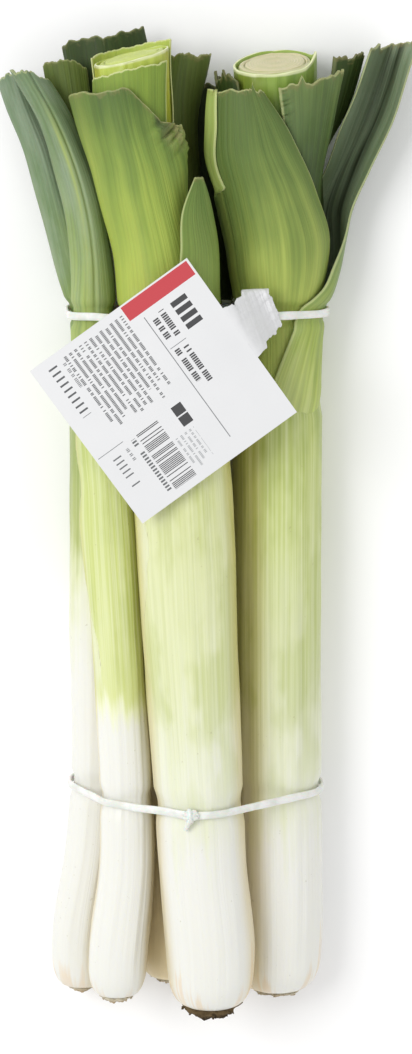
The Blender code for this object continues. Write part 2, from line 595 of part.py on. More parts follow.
LEEKS = {
    "leek_a": (SHAFT_A, INSET_A, 120, (0.0, 0.0), 7.0, 2.2),
    "leek_b": (SHAFT_B, INSET_B, 118, (0.0, 0.0), 6.9, 2.4),
    "leek_c": (SHAFT_C, INSET_C, 173, (0.16, 0.24), 11.0, 4.6),
    "leek_d": (SHAFT_D, INSET_D, 171, (0.31, 0.08), 10.2, 2.4),
    "leek_e": (SHAFT_E, INSET_E, 149, (0.0, 0.0), 7.2, 2.2),
}

# Steps of the rolled layers on a cut face: (share of the outline, rise)
CUT_RINGS = ((1.0, 0), (0.93, 0.1), (0.90, -1.5), (0.72, -1.2), (0.69, 0.6), (0.50, 0.8), (0.46, -0.6),
             (0.22, -0.2))
PLAIN_RINGS = ((1.0, 0), (0.6, 0.4))

# Leaves: name, table, cut (level, slant, bow, torn corner), torn depth, wave seed, colour
LEAVES = (
    ("leek_a_leaf_outer", LEAF_A_OUTER, (166.5, -2.5, -1.0, 0), 0.5, 1.0, GREEN_BLUE),
    ("leek_b_leaf_outer", LEAF_B_OUTER, (167.5, 2.0, -1.5, 0), 0.5, 2.0, GREEN_BLUE),
    ("leek_b_leaf_back", LEAF_B_BACK, (172.0, 0.5, -3.0, 0), 0.25, 3.0, GREEN_DARK),
    ("leek_c_leaf_outer", LEAF_C_OUTER, (161.5, -2.6, -0.8, 14), 0.45, 4.0, GREEN_LIGHT),
    ("leek_c_leaf_middle", LEAF_C_MIDDLE, (168.0, -3.6, 0, 0), 0.2, 15.0, GREEN_MID),
    ("leek_c_leaf_inner", LEAF_C_INNER, (177.0, 3.4, -1.2, 0), 0.15, 5.0, GREEN_MID),
    ("leek_c_leaf_point", LEAF_C_POINT, (130.5, 0, 0, 0), 0.0, 6.0, GREEN_MID),
    ("leek_d_leaf_outer", LEAF_D_OUTER, (177.5, 2.0, 0, 0), 0.5, 7.0, GREEN_BLUE),
    ("leek_d_leaf_front", LEAF_D_FRONT, (161.0, 0, 0, 0), 0.5, 8.0, GREEN_MID),
    ("leek_d_leaf_right", LEAF_D_RIGHT, (166.0, -3.6, -0.8, 0), 0.5, 9.0, GREEN_MID),
    ("leek_d_leaf_dark", LEAF_D_DARK, (173.5, -1.0, 0, 0), 0.6, 10.0, GREEN_DARK),
    ("leek_d_leaf_left", LEAF_D_LEFT, (165.0, 0, 0, 0), 1.2, 11.0, GREEN_DARK),
    ("leek_e_leaf_back", LEAF_E_BACK, (180.5, -3.0, 0, 0), 0.5, 12.0, GREEN_DARK),
    ("leek_e_leaf_right", LEAF_E_RIGHT, (174.0, 0, 0, 0), 0.5, 13.0, GREEN_DARK),
    ("leek_e_leaf_low", LEAF_E_LOW, (163.0, 1.0, 0, 0), 0.6, 14.0, GREEN_DARK),
)


def main():
    for old in list(bpy.data.objects):
        bpy.data.objects.remove(old, do_unlink=True)
    bunch = bpy.data.collections.new("Leek bunch")
    cutters = bpy.data.collections.new("Joined shapes")
    for collection in (bunch, cutters):
        bpy.context.scene.collection.children.link(collection)
    shaft_material = new_material("Leek shaft", SHAFT_PALE, 0.45)
    root_material = new_material("Root plate", ROOT_BROWN, 0.9)
    elastic = new_material("Elastic", ELASTIC_WHITE, 0.4)
    card = new_material("Card", CARD_WHITE, 0.55)
    for seed, (name, (rows, inset, cut_y, slopes, plate, depth)) in enumerate(LEEKS.items()):
        rings = CUT_RINGS if name in ("leek_c", "leek_d") else PLAIN_RINGS
        make_shaft(name + "_shaft", rows, inset, cut_y, slopes, rings, shaft_material, bunch)
        make_root_plate(name + "_root_plate", rows, plate, depth, seed + 1, root_material, bunch)
    for name, rows, cut, ragged, seed, colour in LEAVES:
        make_leaf(name, rows, cut, ragged, seed, new_material(name, colour, 0.5), bunch)
    shafts = [leek[:2] for leek in LEEKS.values()]
    tables = [leaf[1] for leaf in LEAVES]
    lower = tie_route(TIE_LOWER_Y, shafts, [])
    upper = tie_route(TIE_UPPER_Y, shafts, tables)
    add_knot(make_tie("tie_lower", TIE_LOWER_Y, lower, elastic, bunch), TIE_LOWER_Y, lower, cutters)
    make_tie("tie_upper", TIE_UPPER_Y, upper, elastic, bunch)
    make_tag("tag", upper, card, bunch)


if __name__ == "__main__":
    main()
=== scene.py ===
"""A tied bunch of leeks, lying on its lower row and looked down on.

Lengths are millimetres, as in the part: X to the right, Y from the roots to the cut tops, Z up. A leek's
shaft is lofted through oval sections, and a leaf is part of an oval tube that opens out as it leaves it.
"""
import math

import bpy
import numpy as np
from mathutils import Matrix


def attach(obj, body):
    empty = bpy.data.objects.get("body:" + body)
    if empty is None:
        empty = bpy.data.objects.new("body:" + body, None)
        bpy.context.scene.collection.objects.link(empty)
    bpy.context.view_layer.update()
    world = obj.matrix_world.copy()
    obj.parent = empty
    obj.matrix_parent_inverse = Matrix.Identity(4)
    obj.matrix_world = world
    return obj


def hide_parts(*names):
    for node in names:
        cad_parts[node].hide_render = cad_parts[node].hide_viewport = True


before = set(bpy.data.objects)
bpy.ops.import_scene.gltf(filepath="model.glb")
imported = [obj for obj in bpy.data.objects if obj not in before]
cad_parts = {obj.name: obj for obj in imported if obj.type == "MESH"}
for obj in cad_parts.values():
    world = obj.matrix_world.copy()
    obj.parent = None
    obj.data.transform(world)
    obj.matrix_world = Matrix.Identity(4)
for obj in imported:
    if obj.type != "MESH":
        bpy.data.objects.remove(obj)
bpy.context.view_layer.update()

MM = 0.001
CENTRE_X = 0.6
CENTRE_Y = -1.4

# Shafts: (y, centre x, centre z, half width, half height), from the root end to the cut top
SHAFT_A = ((-184, -48.8, 11.2, 11.6, 11.6), (-165, -48.2, 11.5, 12, 11.9), (-125, -42.4, 11.6, 11.8, 11.9),
           (-102, -40.6, 11.6, 11.8, 11.8), (-40, -40.3, 11.5, 11.8, 11.7), (45, -40, 11.6, 11.4, 11.6),
           (80, -41.2, 12.8, 10.2, 11.2), (110, -50, 13.6, 8.6, 10.6), (134, -57.4, 14.4, 7.6, 9.6))
SHAFT_B = ((-181, -34.4, 30.8, 11, 10.4), (-167, -33.8, 32, 11.3, 10.4), (-125, -29.9, 33.4, 10.4, 10.2),
           (-102, -30, 33.6, 10.2, 10), (-40, -33, 33.2, 9.8, 10.1), (0, -35.2, 33.4, 9.8, 10.1),
           (45, -37.8, 34, 9.3, 10.1), (80, -41.2, 33.4, 8.5, 10), (104, -41.8, 32.4, 7.8, 9.8),
           (140, -49.6, 28.6, 7.2, 9.4))
SHAFT_C = ((-181.5, 1.8, 39.4, 15.6, 14.8), (-162, 1.6, 40.4, 16.8, 15.6), (-125, -1.5, 41, 16.5, 15.6),
           (-102, -2.7, 41.2, 16.6, 15.3), (-40, -6, 41.4, 17.8, 14.7), (5, -8, 41.4, 18.2, 14.5),
           (45, -10.6, 41.2, 17.5, 14.5), (86, -15.6, 41.2, 16.4, 14.6), (104, -18.2, 40.8, 16, 14.6),
           (135, -24, 40.2, 14.8, 14), (173, -26.6, 39.6, 14.4, 13.2))
SHAFT_D = ((-183.5, 27.6, 15.4, 16.4, 16), (-165, 28, 16, 17.2, 16.8), (-102, 27.2, 16.2, 17.2, 17),
           (0, 26.6, 16.4, 17, 17.2), (60, 26.4, 16.6, 16.8, 17.2), (110, 26.4, 18, 16, 16),
           (172, 25, 23, 15.4, 14.6))
SHAFT_E = ((-180.5, -14, 11.6, 11.8, 11.8), (-125, -13.8, 11.8, 12.2, 12.2), (0, -13.8, 11.8, 12.2, 12.2),
           (80, -16, 11.6, 12, 11.8), (110, -19.4, 11.4, 11, 10.8), (150, -28, 11.4, 10.6, 10))

# Inset of the shaft where loose leaf sheaths lie over it: (y, inset)
INSET_A = ((45, 0), (45.8, 2.2), (134, 2.2))
INSET_B = ((47, 0), (47.8, 2.2), (140, 2.2))
INSET_C = ((48, 0), (48.8, 3.2), (100, 3.2), (150, 1.9), (173, 1.2))
INSET_D = ((42, 0), (42.8, 3.4), (100, 3.4), (160, 0.4), (172, 0.2))
INSET_E = ((92, 0), (92.8, 1.8), (150, 1.8))

# Leaves: (y, centre x, centre z, half width, half height, roundness, keel angle, span below, span above)
# The keel angle is measured from +X towards +Z. Roundness 2 is an oval and 1 folds the keel sharply.
LEAF_A_OUTER = ((46.3, -40, 11.7, 10.3, 10.5, 2, 150, 115, 112),
                (80, -41.2, 12.8, 9.2, 10.2, 2, 150, 112, 100),
                (94, -45.4, 13.2, 9, 10.2, 1.9, 140, 100, 95),
                (107, -50, 13.6, 7.8, 10.2, 1.8, 130, 95, 95),
                (122, -54.4, 14.2, 7.2, 10, 1.7, 122, 92, 92), (142, -61, 14.8, 6.8, 9.6, 1.6, 112, 90, 90),
                (152, -65, 15.2, 6.4, 9.2, 1.6, 110, 88, 90),
                (167, -70.6, 15.8, 5.4, 8.6, 1.5, 108, 86, 90))
LEAF_B_OUTER = ((48.3, -37.9, 33.9, 8.2, 9, 2, 95, 115, 115), (80, -41.2, 33.4, 7.5, 9, 2, 95, 108, 108),
                (104, -41.8, 32.4, 6.9, 9.4, 1.8, 93, 90, 92),
                (118, -43.8, 31.4, 6.6, 9.6, 1.7, 92, 84, 88),
                (134, -48.2, 29.8, 6.4, 9.6, 1.6, 90, 78, 84),
                (150, -54.6, 28.6, 6.2, 9.4, 1.6, 90, 72, 76),
                (170, -65.6, 27.6, 6.2, 8.8, 1.5, 90, 68, 66))
LEAF_B_BACK = ((128, -43.6, 18.6, 5.4, 4.4, 2, 90, 62, 56), (142, -45.6, 19.4, 6.4, 4.8, 1.9, 88, 60, 60),
               (158, -49.4, 20, 8, 5.4, 1.8, 85, 55, 74), (172, -51.6, 20.4, 8.8, 5.8, 1.8, 84, 55, 76))
LEAF_C_OUTER = ((49.3, -10.9, 41.2, 16.3, 13.3, 2, 95, 150, 150),
                (86, -15.6, 41.2, 15.4, 13.6, 2, 95, 140, 140),
                (104, -18.2, 40.8, 15, 13.6, 2, 95, 130, 128),
                (125, -22.4, 40.6, 15.4, 13.8, 2, 95, 112, 112),
                (134, -24, 40.6, 16.4, 14.2, 1.9, 95, 102, 104),
                (146, -27, 40.6, 17.4, 14.8, 1.85, 95, 92, 98),
                (166, -30.8, 40.4, 19.8, 15.2, 1.8, 95, 86, 92))
LEAF_C_INNER = ((110, -19.4, 40.6, 13.8, 12.3, 2, -90, 42, 42),
                (140, -24.6, 40, 14.6, 13.8, 2, -90, 56, 58),
                (178, -26.8, 38.8, 15.8, 14.4, 1.9, -90, 66, 66))
LEAF_C_MIDDLE = ((138, -24.4, 40.2, 13.3, 12.2, 2, 95, 56, 60), (150, -25.4, 40, 13.6, 12.5, 2, 95, 60, 66),
                 (172, -26.7, 39.7, 14, 12.9, 2, 95, 66, 72))
LEAF_C_POINT = ((56, -10.2, 40.2, 19.6, 16.8, 2, 38, 42, 40), (86, -13, 40.2, 17.8, 16.8, 1.9, 38, 42, 42),
                (104, -13.6, 39.8, 17.8, 16.6, 1.8, 36, 38, 38),
                (118, -13.6, 39.6, 17.2, 16.4, 1.7, 45, 24, 25),
                (131, -13.6, 39.4, 17, 16.2, 1.7, 48, 4, 4))
LEAF_D_OUTER = ((43.3, 26.4, 16.6, 15.8, 16.2, 2, -20, 110, 130),
                (60, 26.4, 16.6, 15.8, 16.3, 2, -20, 105, 110),
                (74, 26.6, 16.8, 16.2, 16.4, 2, -20, 100, 92), (82, 27, 17, 17.2, 16.6, 2, -22, 95, 86),
                (90, 28.2, 17.2, 18.8, 16.8, 2, -26, 90, 62), (98, 29.6, 17.4, 20, 16.8, 2, -32, 85, 58),
                (107, 33.6, 17.8, 18, 16.8, 1.95, -42, 75, 54), (118, 41.6, 19, 11.8, 17, 1.8, -62, 56, 68),
                (132, 50.4, 21, 9.2, 17.3, 1.6, -82, 56, 82), (152, 60, 22, 8.4, 16.6, 1.5, -88, 86, 86),
                (182, 70, 22, 7, 15.4, 1.45, -90, 88, 88))
LEAF_D_FRONT = ((52, 26.4, 16.8, 14.1, 14.4, 2, 95, 70, 80), (82, 26.4, 17.2, 14.9, 14.8, 2, 96, 78, 84),
                (96, 26.6, 17.6, 18, 17.2, 1.95, 98, 84, 86), (107, 26.4, 18, 19.4, 18.6, 1.9, 100, 84, 86),
                (125, 23, 20, 20, 19.4, 1.9, 100, 70, 84), (139, 19.6, 22, 21.4, 19.8, 1.85, 100, 52, 80),
                (150, 18.2, 23.6, 20.4, 19.4, 1.8, 100, 40, 76),
                (162, 16.6, 25.4, 17.6, 18, 1.8, 100, 22, 70))
LEAF_D_RIGHT = ((104, 26.4, 18, 13.6, 13.5, 2, 34, 42, 42), (132, 27.2, 19.4, 15.3, 14.7, 2, 36, 42, 46),
                (150, 28.6, 21.8, 17.4, 15.6, 1.9, 38, 42, 56),
                (168, 29.8, 24.6, 19.4, 16.8, 1.85, 40, 44, 66))
LEAF_D_DARK = ((138, 29, 10, 15.2, 10.4, 1.95, 30, 12, 13), (152, 33.6, 9.8, 17.4, 11.6, 1.9, 34, 16, 19),
               (176, 41.6, 10, 18.4, 12, 1.8, 42, 22, 30))
LEAF_D_LEFT = ((104, 26.4, 18, 14, 14, 2, 170, 45, 50), (140, 24.6, 20.6, 15.8, 14.6, 2, 170, 42, 48),
               (168, 20.6, 23, 16.6, 15, 1.8, 168, 40, 45))
LEAF_E_BACK = ((100, -18.2, 11.4, 10.4, 10.2, 2, 95, 72, 80), (130, -24, 10.6, 13.4, 11, 1.9, 95, 72, 80),
               (158, -33, 9, 16.6, 11.4, 1.8, 95, 72, 75), (185, -38, 8.4, 17, 12, 1.7, 95, 68, 68))
LEAF_E_RIGHT = ((100, -18, 12.2, 13, 12, 2, 4, 38, 36), (130, -16.8, 13, 13.8, 13, 1.9, 36, 36, 38),
                (155, -13.6, 13.4, 11.8, 12.8, 1.8, 62, 44, 38),
                (176, -8.4, 14, 11.6, 12.8, 1.7, 76, 48, 40))
LEAF_E_LOW = ((84, 5.0, 15, 6.0, 10, 2, -90, 56, 60), (106, 3.2, 15, 6.4, 10, 2, -90, 12, 55),
              (128, -1, 14, 10.5, 10, 1.9, -90, 50, 60), (166, -2.5, 13, 12.5, 9.6, 1.8, -92, 66, 64))

LEAF_THICKNESS = 1.0
LEAF_THINNING = 0.55
LEAF_RIDGE = 0.05
LEAF_SWAY = 0.4
RIB_ALLOWANCE = 0.22
SHEATH_FOOT = 9.0
SHEATH_LIFT = 0.12
# The veins' pattern is taken this far away for a leaf's inner face, and this far for each leaf
INNER_SHIFT = (0, 0, 400)
LEAF_SHIFT = 41.0
CORNER_START = 0.1
CORNER_REACH = 0.5
CUT_BLEND = 14.0
LEAF_ACROSS = 84
LEAF_ALONG = 112
SHAFT_SIDES = 132
SHAFT_ALONG = 120
BULB_ROUNDING = 11.0
BULB_SEAT = 0.64
BULB_RINGS = 16
CUT_RINGS = 56
CUT_CORE = 0.03
# A distance that stands for no torn edge near, and the layer that marks the skin rather than the cut face
FAR = 9.0
SKIN_LAYER = 2.0
PLATE_GAP = 0.35
PLATE_SIDES = 96
PLATE_RINGS = 22
STUB_SIDES = 6
STUB_RINGS = 5
FULL_STUB_DEPTH = 4.6
# Lengthwise ribs of a shaft: how many go round, and their height
RIBS = ((5, 0.10), (9, 0.07), (14, 0.06), (23, 0.05))

TIE_LOWER_Y = -102.4
TIE_UPPER_Y = 80.4
TIE_WIDTH = 3.0
TIE_THICKNESS = 1.3
TIE_CLEARANCE = 0.85
TIE_PRESS = 1.1
TIE_PRESS_REACH = 5.5
TIE_PRESS_FADE = 2.5
TIE_POINTS = 300
TIE_SIDES = 16
TIE_FOOT = 3.0
OUTLINE_SAMPLES = 96
UPPER_SIDE_Z = 30.0
KNOT_RADIUS = 2.3
KNOT_X = -5.6
BEAD_RINGS = 26
BEAD_SIDES = 40
TIE_RELIEF = 2.3
TIE_RELIEF_REACH = 6.0
SHEATH_REST_LEVEL = 1.4
INSET_LIFT = 2.6

CARD_SIDE = 68.0
CARD_CENTRE = (-14.8, 55.3)
CARD_TURN = math.radians(35.4)
CARD_SLOPE = -0.13
CARD_CREST_X = -8.0
CARD_LEVEL = 60.4
CARD_THICKNESS = 0.5
TAB_SIDES = (-9.6, 12.0)
TAB_LENGTH = 16.0
TAB_BEND_LENGTH = 12.0
TORN_START = 0.04
TORN_FADE = 0.05
STRAP_X = (12.8, 22.6)
FOLD_Y = 88.5
FOLD_RADIUS = 1.8
FLAP_LENGTH = 13.0

PICTURE_HEIGHT = 1054
FOCAL_PIXELS = 2400.0
SENSOR = 36.0
CAMERA_PLACE = (-0.0006, 0.1577, 0.9113)
CAMERA_TILT = math.radians(-10)
FLOOR_REACH = 3.0
AMBIENT = 0.76
# Lights: name, place, side in metres and watts, all aimed at the bunch's middle
LIGHTS = (("Key", (-0.75, 0.35, 1.1), 0.7, 9.5), ("Fill", (0.9, -0.5, 0.9), 1.0, 2.0))
LIGHT_AIM = (0.0, 0.0, 0.03)


# Curves and sections

def track(rows, y):
    """Each column of a table at y, on cubic curves through the rows with their neighbours' slopes."""
    table = np.array(rows, float)
    stations = table[:, 0]
    values = table[:, 1:]
    slopes = np.gradient(values, stations, axis=0)
    y = np.clip(np.asarray(y, float), stations[0], stations[-1])
    index = np.clip(np.searchsorted(stations, y, side="right") - 1, 0, len(stations) - 2)
    length = stations[index + 1] - stations[index]
    t = ((y - stations[index]) / length)[..., None]
    step = length[..., None]
    return ((2 * t**3 - 3 * t**2 + 1) * values[index] + (t**3 - 2 * t**2 + t) * step * slopes[index]
            + (3 * t**2 - 2 * t**3) * values[index + 1] + (t**3 - t**2) * step * slopes[index + 1])


def smooth_step(x):
    """0 below 0, 1 above 1, and 3x squared minus 2x cubed between."""
    x = np.clip(x, 0, 1)
    return x * x * (3 - 2 * x)


def ripple(t, seed, lowest, count, growth=1.7):
    """A seeded sum of sine waves, each one faster and smaller than the last, within about -1 to 1."""
    random = np.random.default_rng(seed)
    total = np.zeros_like(np.asarray(t, float))
    size = 0.0
    for k in range(count):
        total = total + np.sin(t * lowest * growth**k + random.uniform(0, 2 * math.pi)) / 1.3**k
        size += 1 / 1.3**k
    return total / size * 1.6


def circle(count):
    """Angles spread evenly round a full turn."""
    return np.linspace(0, 2 * math.pi, count, endpoint=False)


def unit(vectors):
    """Vectors scaled to a length of 1."""
    return vectors / np.maximum(np.linalg.norm(vectors, axis=-1, keepdims=True), 1e-9)


def along_line(points, share):
    """Points at shares of a broken line's length."""
    points = np.array(points, float)
    run = np.concatenate([[0], np.cumsum(np.linalg.norm(np.diff(points, axis=0), axis=1))])
    return np.stack([np.interp(share * run[-1], run, points[:, k]) for k in (0, 1)], -1)


def nearest_tie(y):
    """The distance along the leeks from y to the closer of the two ties."""
    return np.minimum(np.abs(y - TIE_LOWER_Y), np.abs(y - TIE_UPPER_Y))


def rest_height(y, level):
    """The lowest height of a surface: the floor, raised where a tie passes beneath."""
    return level + TIE_RELIEF * smooth_step((TIE_RELIEF_REACH - nearest_tie(y)) / TIE_FOOT)


def pressed(columns, y):
    """A section's columns with its half sizes narrowed where a tie presses into the leeks."""
    narrowed = columns.copy()
    depth = TIE_PRESS * smooth_step((TIE_PRESS_REACH - nearest_tie(y)) / TIE_PRESS_FADE)
    narrowed[..., 2:4] -= depth[..., None]
    return narrowed


def power(value, exponent):
    """A number's size to a power, with its sign kept."""
    return np.sign(value) * np.abs(value) ** exponent


def oval(columns, angle, roundness=2.0):
    """Centre plus half size times the cosine or sine to the power 2 over the roundness."""
    x = columns[..., 0] + columns[..., 2] * power(np.cos(angle), 2 / roundness)
    z = columns[..., 1] + columns[..., 3] * power(np.sin(angle), 2 / roundness)
    return x, z


def shaft_section(rows, inset, y, angle, scale=1.0):
    """The shaft's outline at y, narrowed under the sheaths and pressed flat underneath."""
    columns = pressed(track(rows, y), y)
    room = np.interp(y, [row[0] for row in inset], [row[1] for row in inset])
    columns[..., 2] = (columns[..., 2] - room) * scale
    columns[..., 3] = (columns[..., 3] - room) * scale
    x, z = oval(columns, angle)
    return x, np.maximum(z, rest_height(y, INSET_LIFT * smooth_step(room / 2)))


def leaf_section(rows, y, across):
    """A point of a leaf's inner face. across runs from -1 at one margin over 0 at the keel to 1."""
    columns = pressed(track(rows, y), y)
    span = np.where(across < 0, columns[..., 6], columns[..., 7])
    angle = np.radians(columns[..., 5] + across * span)
    x, z = oval(columns, angle, columns[..., 4])
    return x, np.maximum(z, rest_height(y, SHEATH_REST_LEVEL))


def normals_of(points):
    """Unit normals of a grid of points: the cross product of the steps in its two directions."""
    return unit(np.cross(np.gradient(points, axis=0), np.gradient(points, axis=1)))


# Meshes

def ring_quads(rings, count):
    """Quads between rings of points that are closed round."""
    ring, k = np.meshgrid(np.arange(rings - 1), np.arange(count), indexing="ij")
    after = (k + 1) % count
    a = ring * count + k
    b = ring * count + after
    return np.stack([a, b, b + count, a + count], -1).reshape(-1, 4)


def fan(centre, first, count):
    """Triangles from a centre point to a ring."""
    k = np.arange(count)
    return np.stack([np.full(count, centre), first + (k + 1) % count, first + k], -1)


def capped(rings, sides):
    """Faces of rings of points that are closed by two centre points, which follow the rings."""
    count = rings * sides
    return [ring_quads(rings, sides), fan(count, 0, sides), fan(count + 1, count - sides, sides)[:, ::-1]]


def sheet_faces(rows, count):
    """Faces of a sheet whose rows are loops of count points, with strips across the two end loops."""
    k = np.arange(count // 2 - 1)
    cap = np.stack([k, k + 1, count - 2 - k, count - 1 - k], -1)
    return [ring_quads(rows, count), cap, (cap + (rows - 1) * count)[:, ::-1]]


def both_faces(values):
    """Values over a sheet's outer face, and the same ones back over its inner face."""
    return np.concatenate([values, values[:, ::-1]], 1)


def volume_of(points, faces):
    """The signed volume: a sixth of the summed triple products of the faces."""
    total = 0.0
    for block in faces:
        for k in range(1, block.shape[1] - 1):
            a, b, c = points[block[:, 0]], points[block[:, k]], points[block[:, k + 1]]
            total += (np.cross(a, b) * c).sum() / 6
    return total


def outward(points, faces):
    """Faces turned to point out of the closed shell that they make."""
    return [block[:, ::-1] for block in faces] if volume_of(points, faces) < 0 else faces


def joined(shells):
    """Shells of points and faces as one: each shell's faces count on from the points before it."""
    starts = np.cumsum([0] + [len(points) for points, _ in shells])
    faces = [block + start for start, (_, blocks) in zip(starts, shells) for block in blocks]
    return np.concatenate([points for points, _ in shells]), faces


def new_piece(name, points, faces, material, node, slot, fields=None, sharp=60):
    """A CAD node's piece from points in millimetres and blocks of faces, moved to the bunch's centre."""
    faces = outward(points, faces)
    placed = (np.asarray(points, float) - (CENTRE_X, CENTRE_Y, 0)) * MM
    listed = [face for block in faces for face in block.tolist()]
    mesh = bpy.data.meshes.new(name)
    mesh.from_pydata(placed.tolist(), [], listed)
    for label, values in (fields or {}).items():
        values = np.asarray(values, np.float32)
        kind = "FLOAT_VECTOR" if values.ndim == 2 else "FLOAT"
        layer = mesh.attributes.new(label, kind, "POINT")
        layer.data.foreach_set("vector" if values.ndim == 2 else "value", values.ravel())
    mesh.materials.append(material)
    mesh.shade_smooth()
    mesh.set_sharp_from_angle(angle=math.radians(sharp))
    made = bpy.data.objects.new(name, mesh)
    bpy.context.scene.collection.objects.link(made)
    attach(made, "root")
    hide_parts(node)


# Leek shafts

def edge_relief(y, degrees, radius, edges):
    """A torn sheath's edge: the skin on its raised side stands proud and sinks back further round.

    Returns the height, the distance to the nearest edge, and how far a place lies on the bared side.
    """
    height = np.zeros(np.broadcast(y, degrees).shape)
    nearest = np.full(height.shape, FAR)
    bared = np.zeros(height.shape)
    for rows, side in edges:
        stations = [row[0] for row in rows]
        angle = track([row[:2] for row in rows], y)[..., 0] + 1.2 * ripple(y, len(rows) + 3, 0.35, 5)
        proud = track([(row[0], row[2]) for row in rows], y)[..., 0]
        gap = side * np.radians(degrees - angle) * radius
        inside = smooth_step((y - stations[0]) / 12) * smooth_step((stations[-1] - y) / 9)
        rise = smooth_step(gap / 0.6 + 0.5) * np.exp(-np.maximum(gap, 0) / 5)
        height += proud * rise * inside
        nearest = np.minimum(nearest, np.abs(gap) + FAR * (1 - inside))
        bared = np.maximum(bared, smooth_step(-gap / 0.5) * smooth_step((gap + 10) / 9) * inside)
    return height, nearest, bared


def cut_height(ring, seed):
    """The relief of a cut face: a core of close rings, and rolled layers round it with sunken gaps between,
    which the shaft's finish fills with painted shade.
    """
    stations = (0, 0.3, 0.6, 0.70, 0.73, 0.76, 0.86, 0.905, 0.94, 1.0)
    heights = (0.2, 0.3, 0.2, 0.1, -0.7, 0.1, -0.3, -1.9, 0.1, 0.0)
    return np.interp(ring, stations, heights) + 0.08 * np.sin(ring * 110 + seed)


def painted_gap_shade_share(degrees, sides):
    """1 on the sides that face a neighbouring leek closely, falling to 0 over 30 degrees beyond each. It
    masks the warm painted shade of the gaps between leeks.
    """
    share = np.zeros_like(degrees)
    for middle, reach in sides:
        away = np.abs((degrees - middle + 180) % 360 - 180)
        share = np.maximum(share, smooth_step((reach + 30 - away) / 30))
    return share


def leek_shaft(name, material, rows, inset, cut_y, slopes, edges, sides, seed):
    """A rounded bulb end, the ribbed oval body, and the slanted cut across its rolled layers."""
    turn = np.linspace(-math.pi / 2, 1.5 * math.pi, SHAFT_SIDES, endpoint=False)[None, :]
    end = rows[0][0]
    bend = np.linspace(0, 1, BULB_RINGS) * math.pi / 2
    bulb_y = end + BULB_ROUNDING * (1 - np.cos(bend))
    bulb_scale = BULB_SEAT + (1 - BULB_SEAT) * np.sin(bend)
    even = np.linspace(end + BULB_ROUNDING, cut_y - 0.4, SHAFT_ALONG)[1:]
    y = np.concatenate([bulb_y, even])[:, None]
    scale = np.concatenate([bulb_scale, np.ones(len(even))])[:, None]
    x, z = shaft_section(rows, inset, y, turn, scale)
    radius = float(np.mean([row[3] for row in rows]))
    degrees = np.degrees(turn)
    proud, nearest, bared = edge_relief(y, degrees, radius, edges)
    ribs = sum(size * np.sin(k * turn + 0.004 * k * y / 3 + seed * k) for k, size in RIBS)
    fade = smooth_step((y - end) / 25)
    push = (ribs + 0.18 * ripple(y + 40 * np.sin(turn), seed, 0.05, 4)) * fade + proud
    middle = track(rows, y)
    away = unit(np.stack([x - middle[..., 0], z - middle[..., 1]], -1))
    x = x + away[..., 0] * push
    z = np.maximum(z + away[..., 1] * push, rest_height(y, 0.0))
    flare = slopes[2] * np.maximum(np.cos(turn - 0.15), 0) ** 14
    tilt = slopes[1] * (x - middle[..., 0]) - slopes[0] * (z - middle[..., 1]) + flare
    body = np.stack([x, y + tilt * smooth_step((y - cut_y + CUT_BLEND) / CUT_BLEND), z], -1)

    ring = np.linspace(1, CUT_CORE, CUT_RINGS)[:, None]
    cut = np.full((CUT_RINGS, 1), float(cut_y))
    face_x, face_z = shaft_section(rows, inset, cut, turn, ring)
    middle = track(rows, cut)
    slanted = cut_y + cut_height(ring, seed) - slopes[0] * (face_z - middle[..., 1])
    slanted = slanted + slopes[1] * (face_x - middle[..., 0]) + flare * smooth_step((ring - 0.92) / 0.03)
    slanted = slanted + 0.25 * ripple(np.degrees(turn) / 57 + ring * 3, seed + 5, 2.0, 4) * ring
    face = np.stack([face_x, slanted, face_z], -1)

    grid = np.concatenate([body, face])
    rings = len(grid)
    points = np.vstack([grid.reshape(-1, 3), body[0].mean(0), face[-1].mean(0)])
    unrolled = np.broadcast_arrays(radius * np.cos(turn), grid[..., 1], radius * np.sin(turn))
    grain = np.stack(unrolled, -1)
    layer = np.concatenate([np.full(len(body), SKIN_LAYER), ring[:, 0]])
    layer = np.broadcast_to(layer[:, None], (rings, SHAFT_SIDES))

    def padded(values, start):
        """A field over the body, filled up over the cut face and the two centre points."""
        full = np.full((rings, SHAFT_SIDES), float(start))
        full[:len(body)] = values
        return np.append(full.ravel(), [start, start])

    fields = {
        "grain": np.vstack([grain.reshape(-1, 3), (0, end, 0), (0, cut_y, 0)]),
        "layer": np.append(layer.ravel(), [SKIN_LAYER, 0.0]),
        "margin": padded(nearest, FAR),
        "bared": padded(bared, 0.0),
        "painted_gap_shade": padded(np.broadcast_to(painted_gap_shade_share(degrees, sides), nearest.shape), 0.0),
        "top": padded(np.broadcast_to(cut_y - y, nearest.shape), 0.0),
    }
    new_piece(name + "_skin", points, capped(rings, SHAFT_SIDES), material, name, "shaft", fields,
              sharp=50)


# Leaves

def cut_edge(across, cut, ragged, seed, spikes):
    """The y of a leaf's cut end: the part's slanted line, torn corner and waves, with fraying and spikes."""
    wave = np.sin(5.3 * across + seed) + 0.7 * np.sin(11.7 * across + 2.1 * seed)
    wave += 0.5 * np.sin(23 * across + seed)
    level, slant, bow, corner = cut
    torn = corner * smooth_step((-across - CORNER_START) / CORNER_REACH)
    edge = level + slant * across + bow * across**2 - torn + ragged * wave
    edge = edge + 0.18 * ripple(across, int(seed) + 60, 23.0, 4)
    for place, width, height in spikes:
        edge = edge + height * np.clip(1 - np.abs(across - place) / width, 0, 1)
    return edge


def folded_back(across, y, fold):
    """A margin folded over the leaf's back: past the fold line, across runs back and the sheet lifts."""
    if fold is None:
        return across, np.zeros_like(across), np.zeros_like(across)
    side, line, first, last, lift = fold
    weight = smooth_step((y - first) / 6) * smooth_step((last - y) / 7)
    line = line + 0.05 * ripple(y, 41, 0.1, 2)
    past = np.maximum(side * across - line, 0)
    turned = across - side * 2 * past * weight
    over = weight * smooth_step(past / (1 - line) * 2.2)
    return turned, lift * over, over


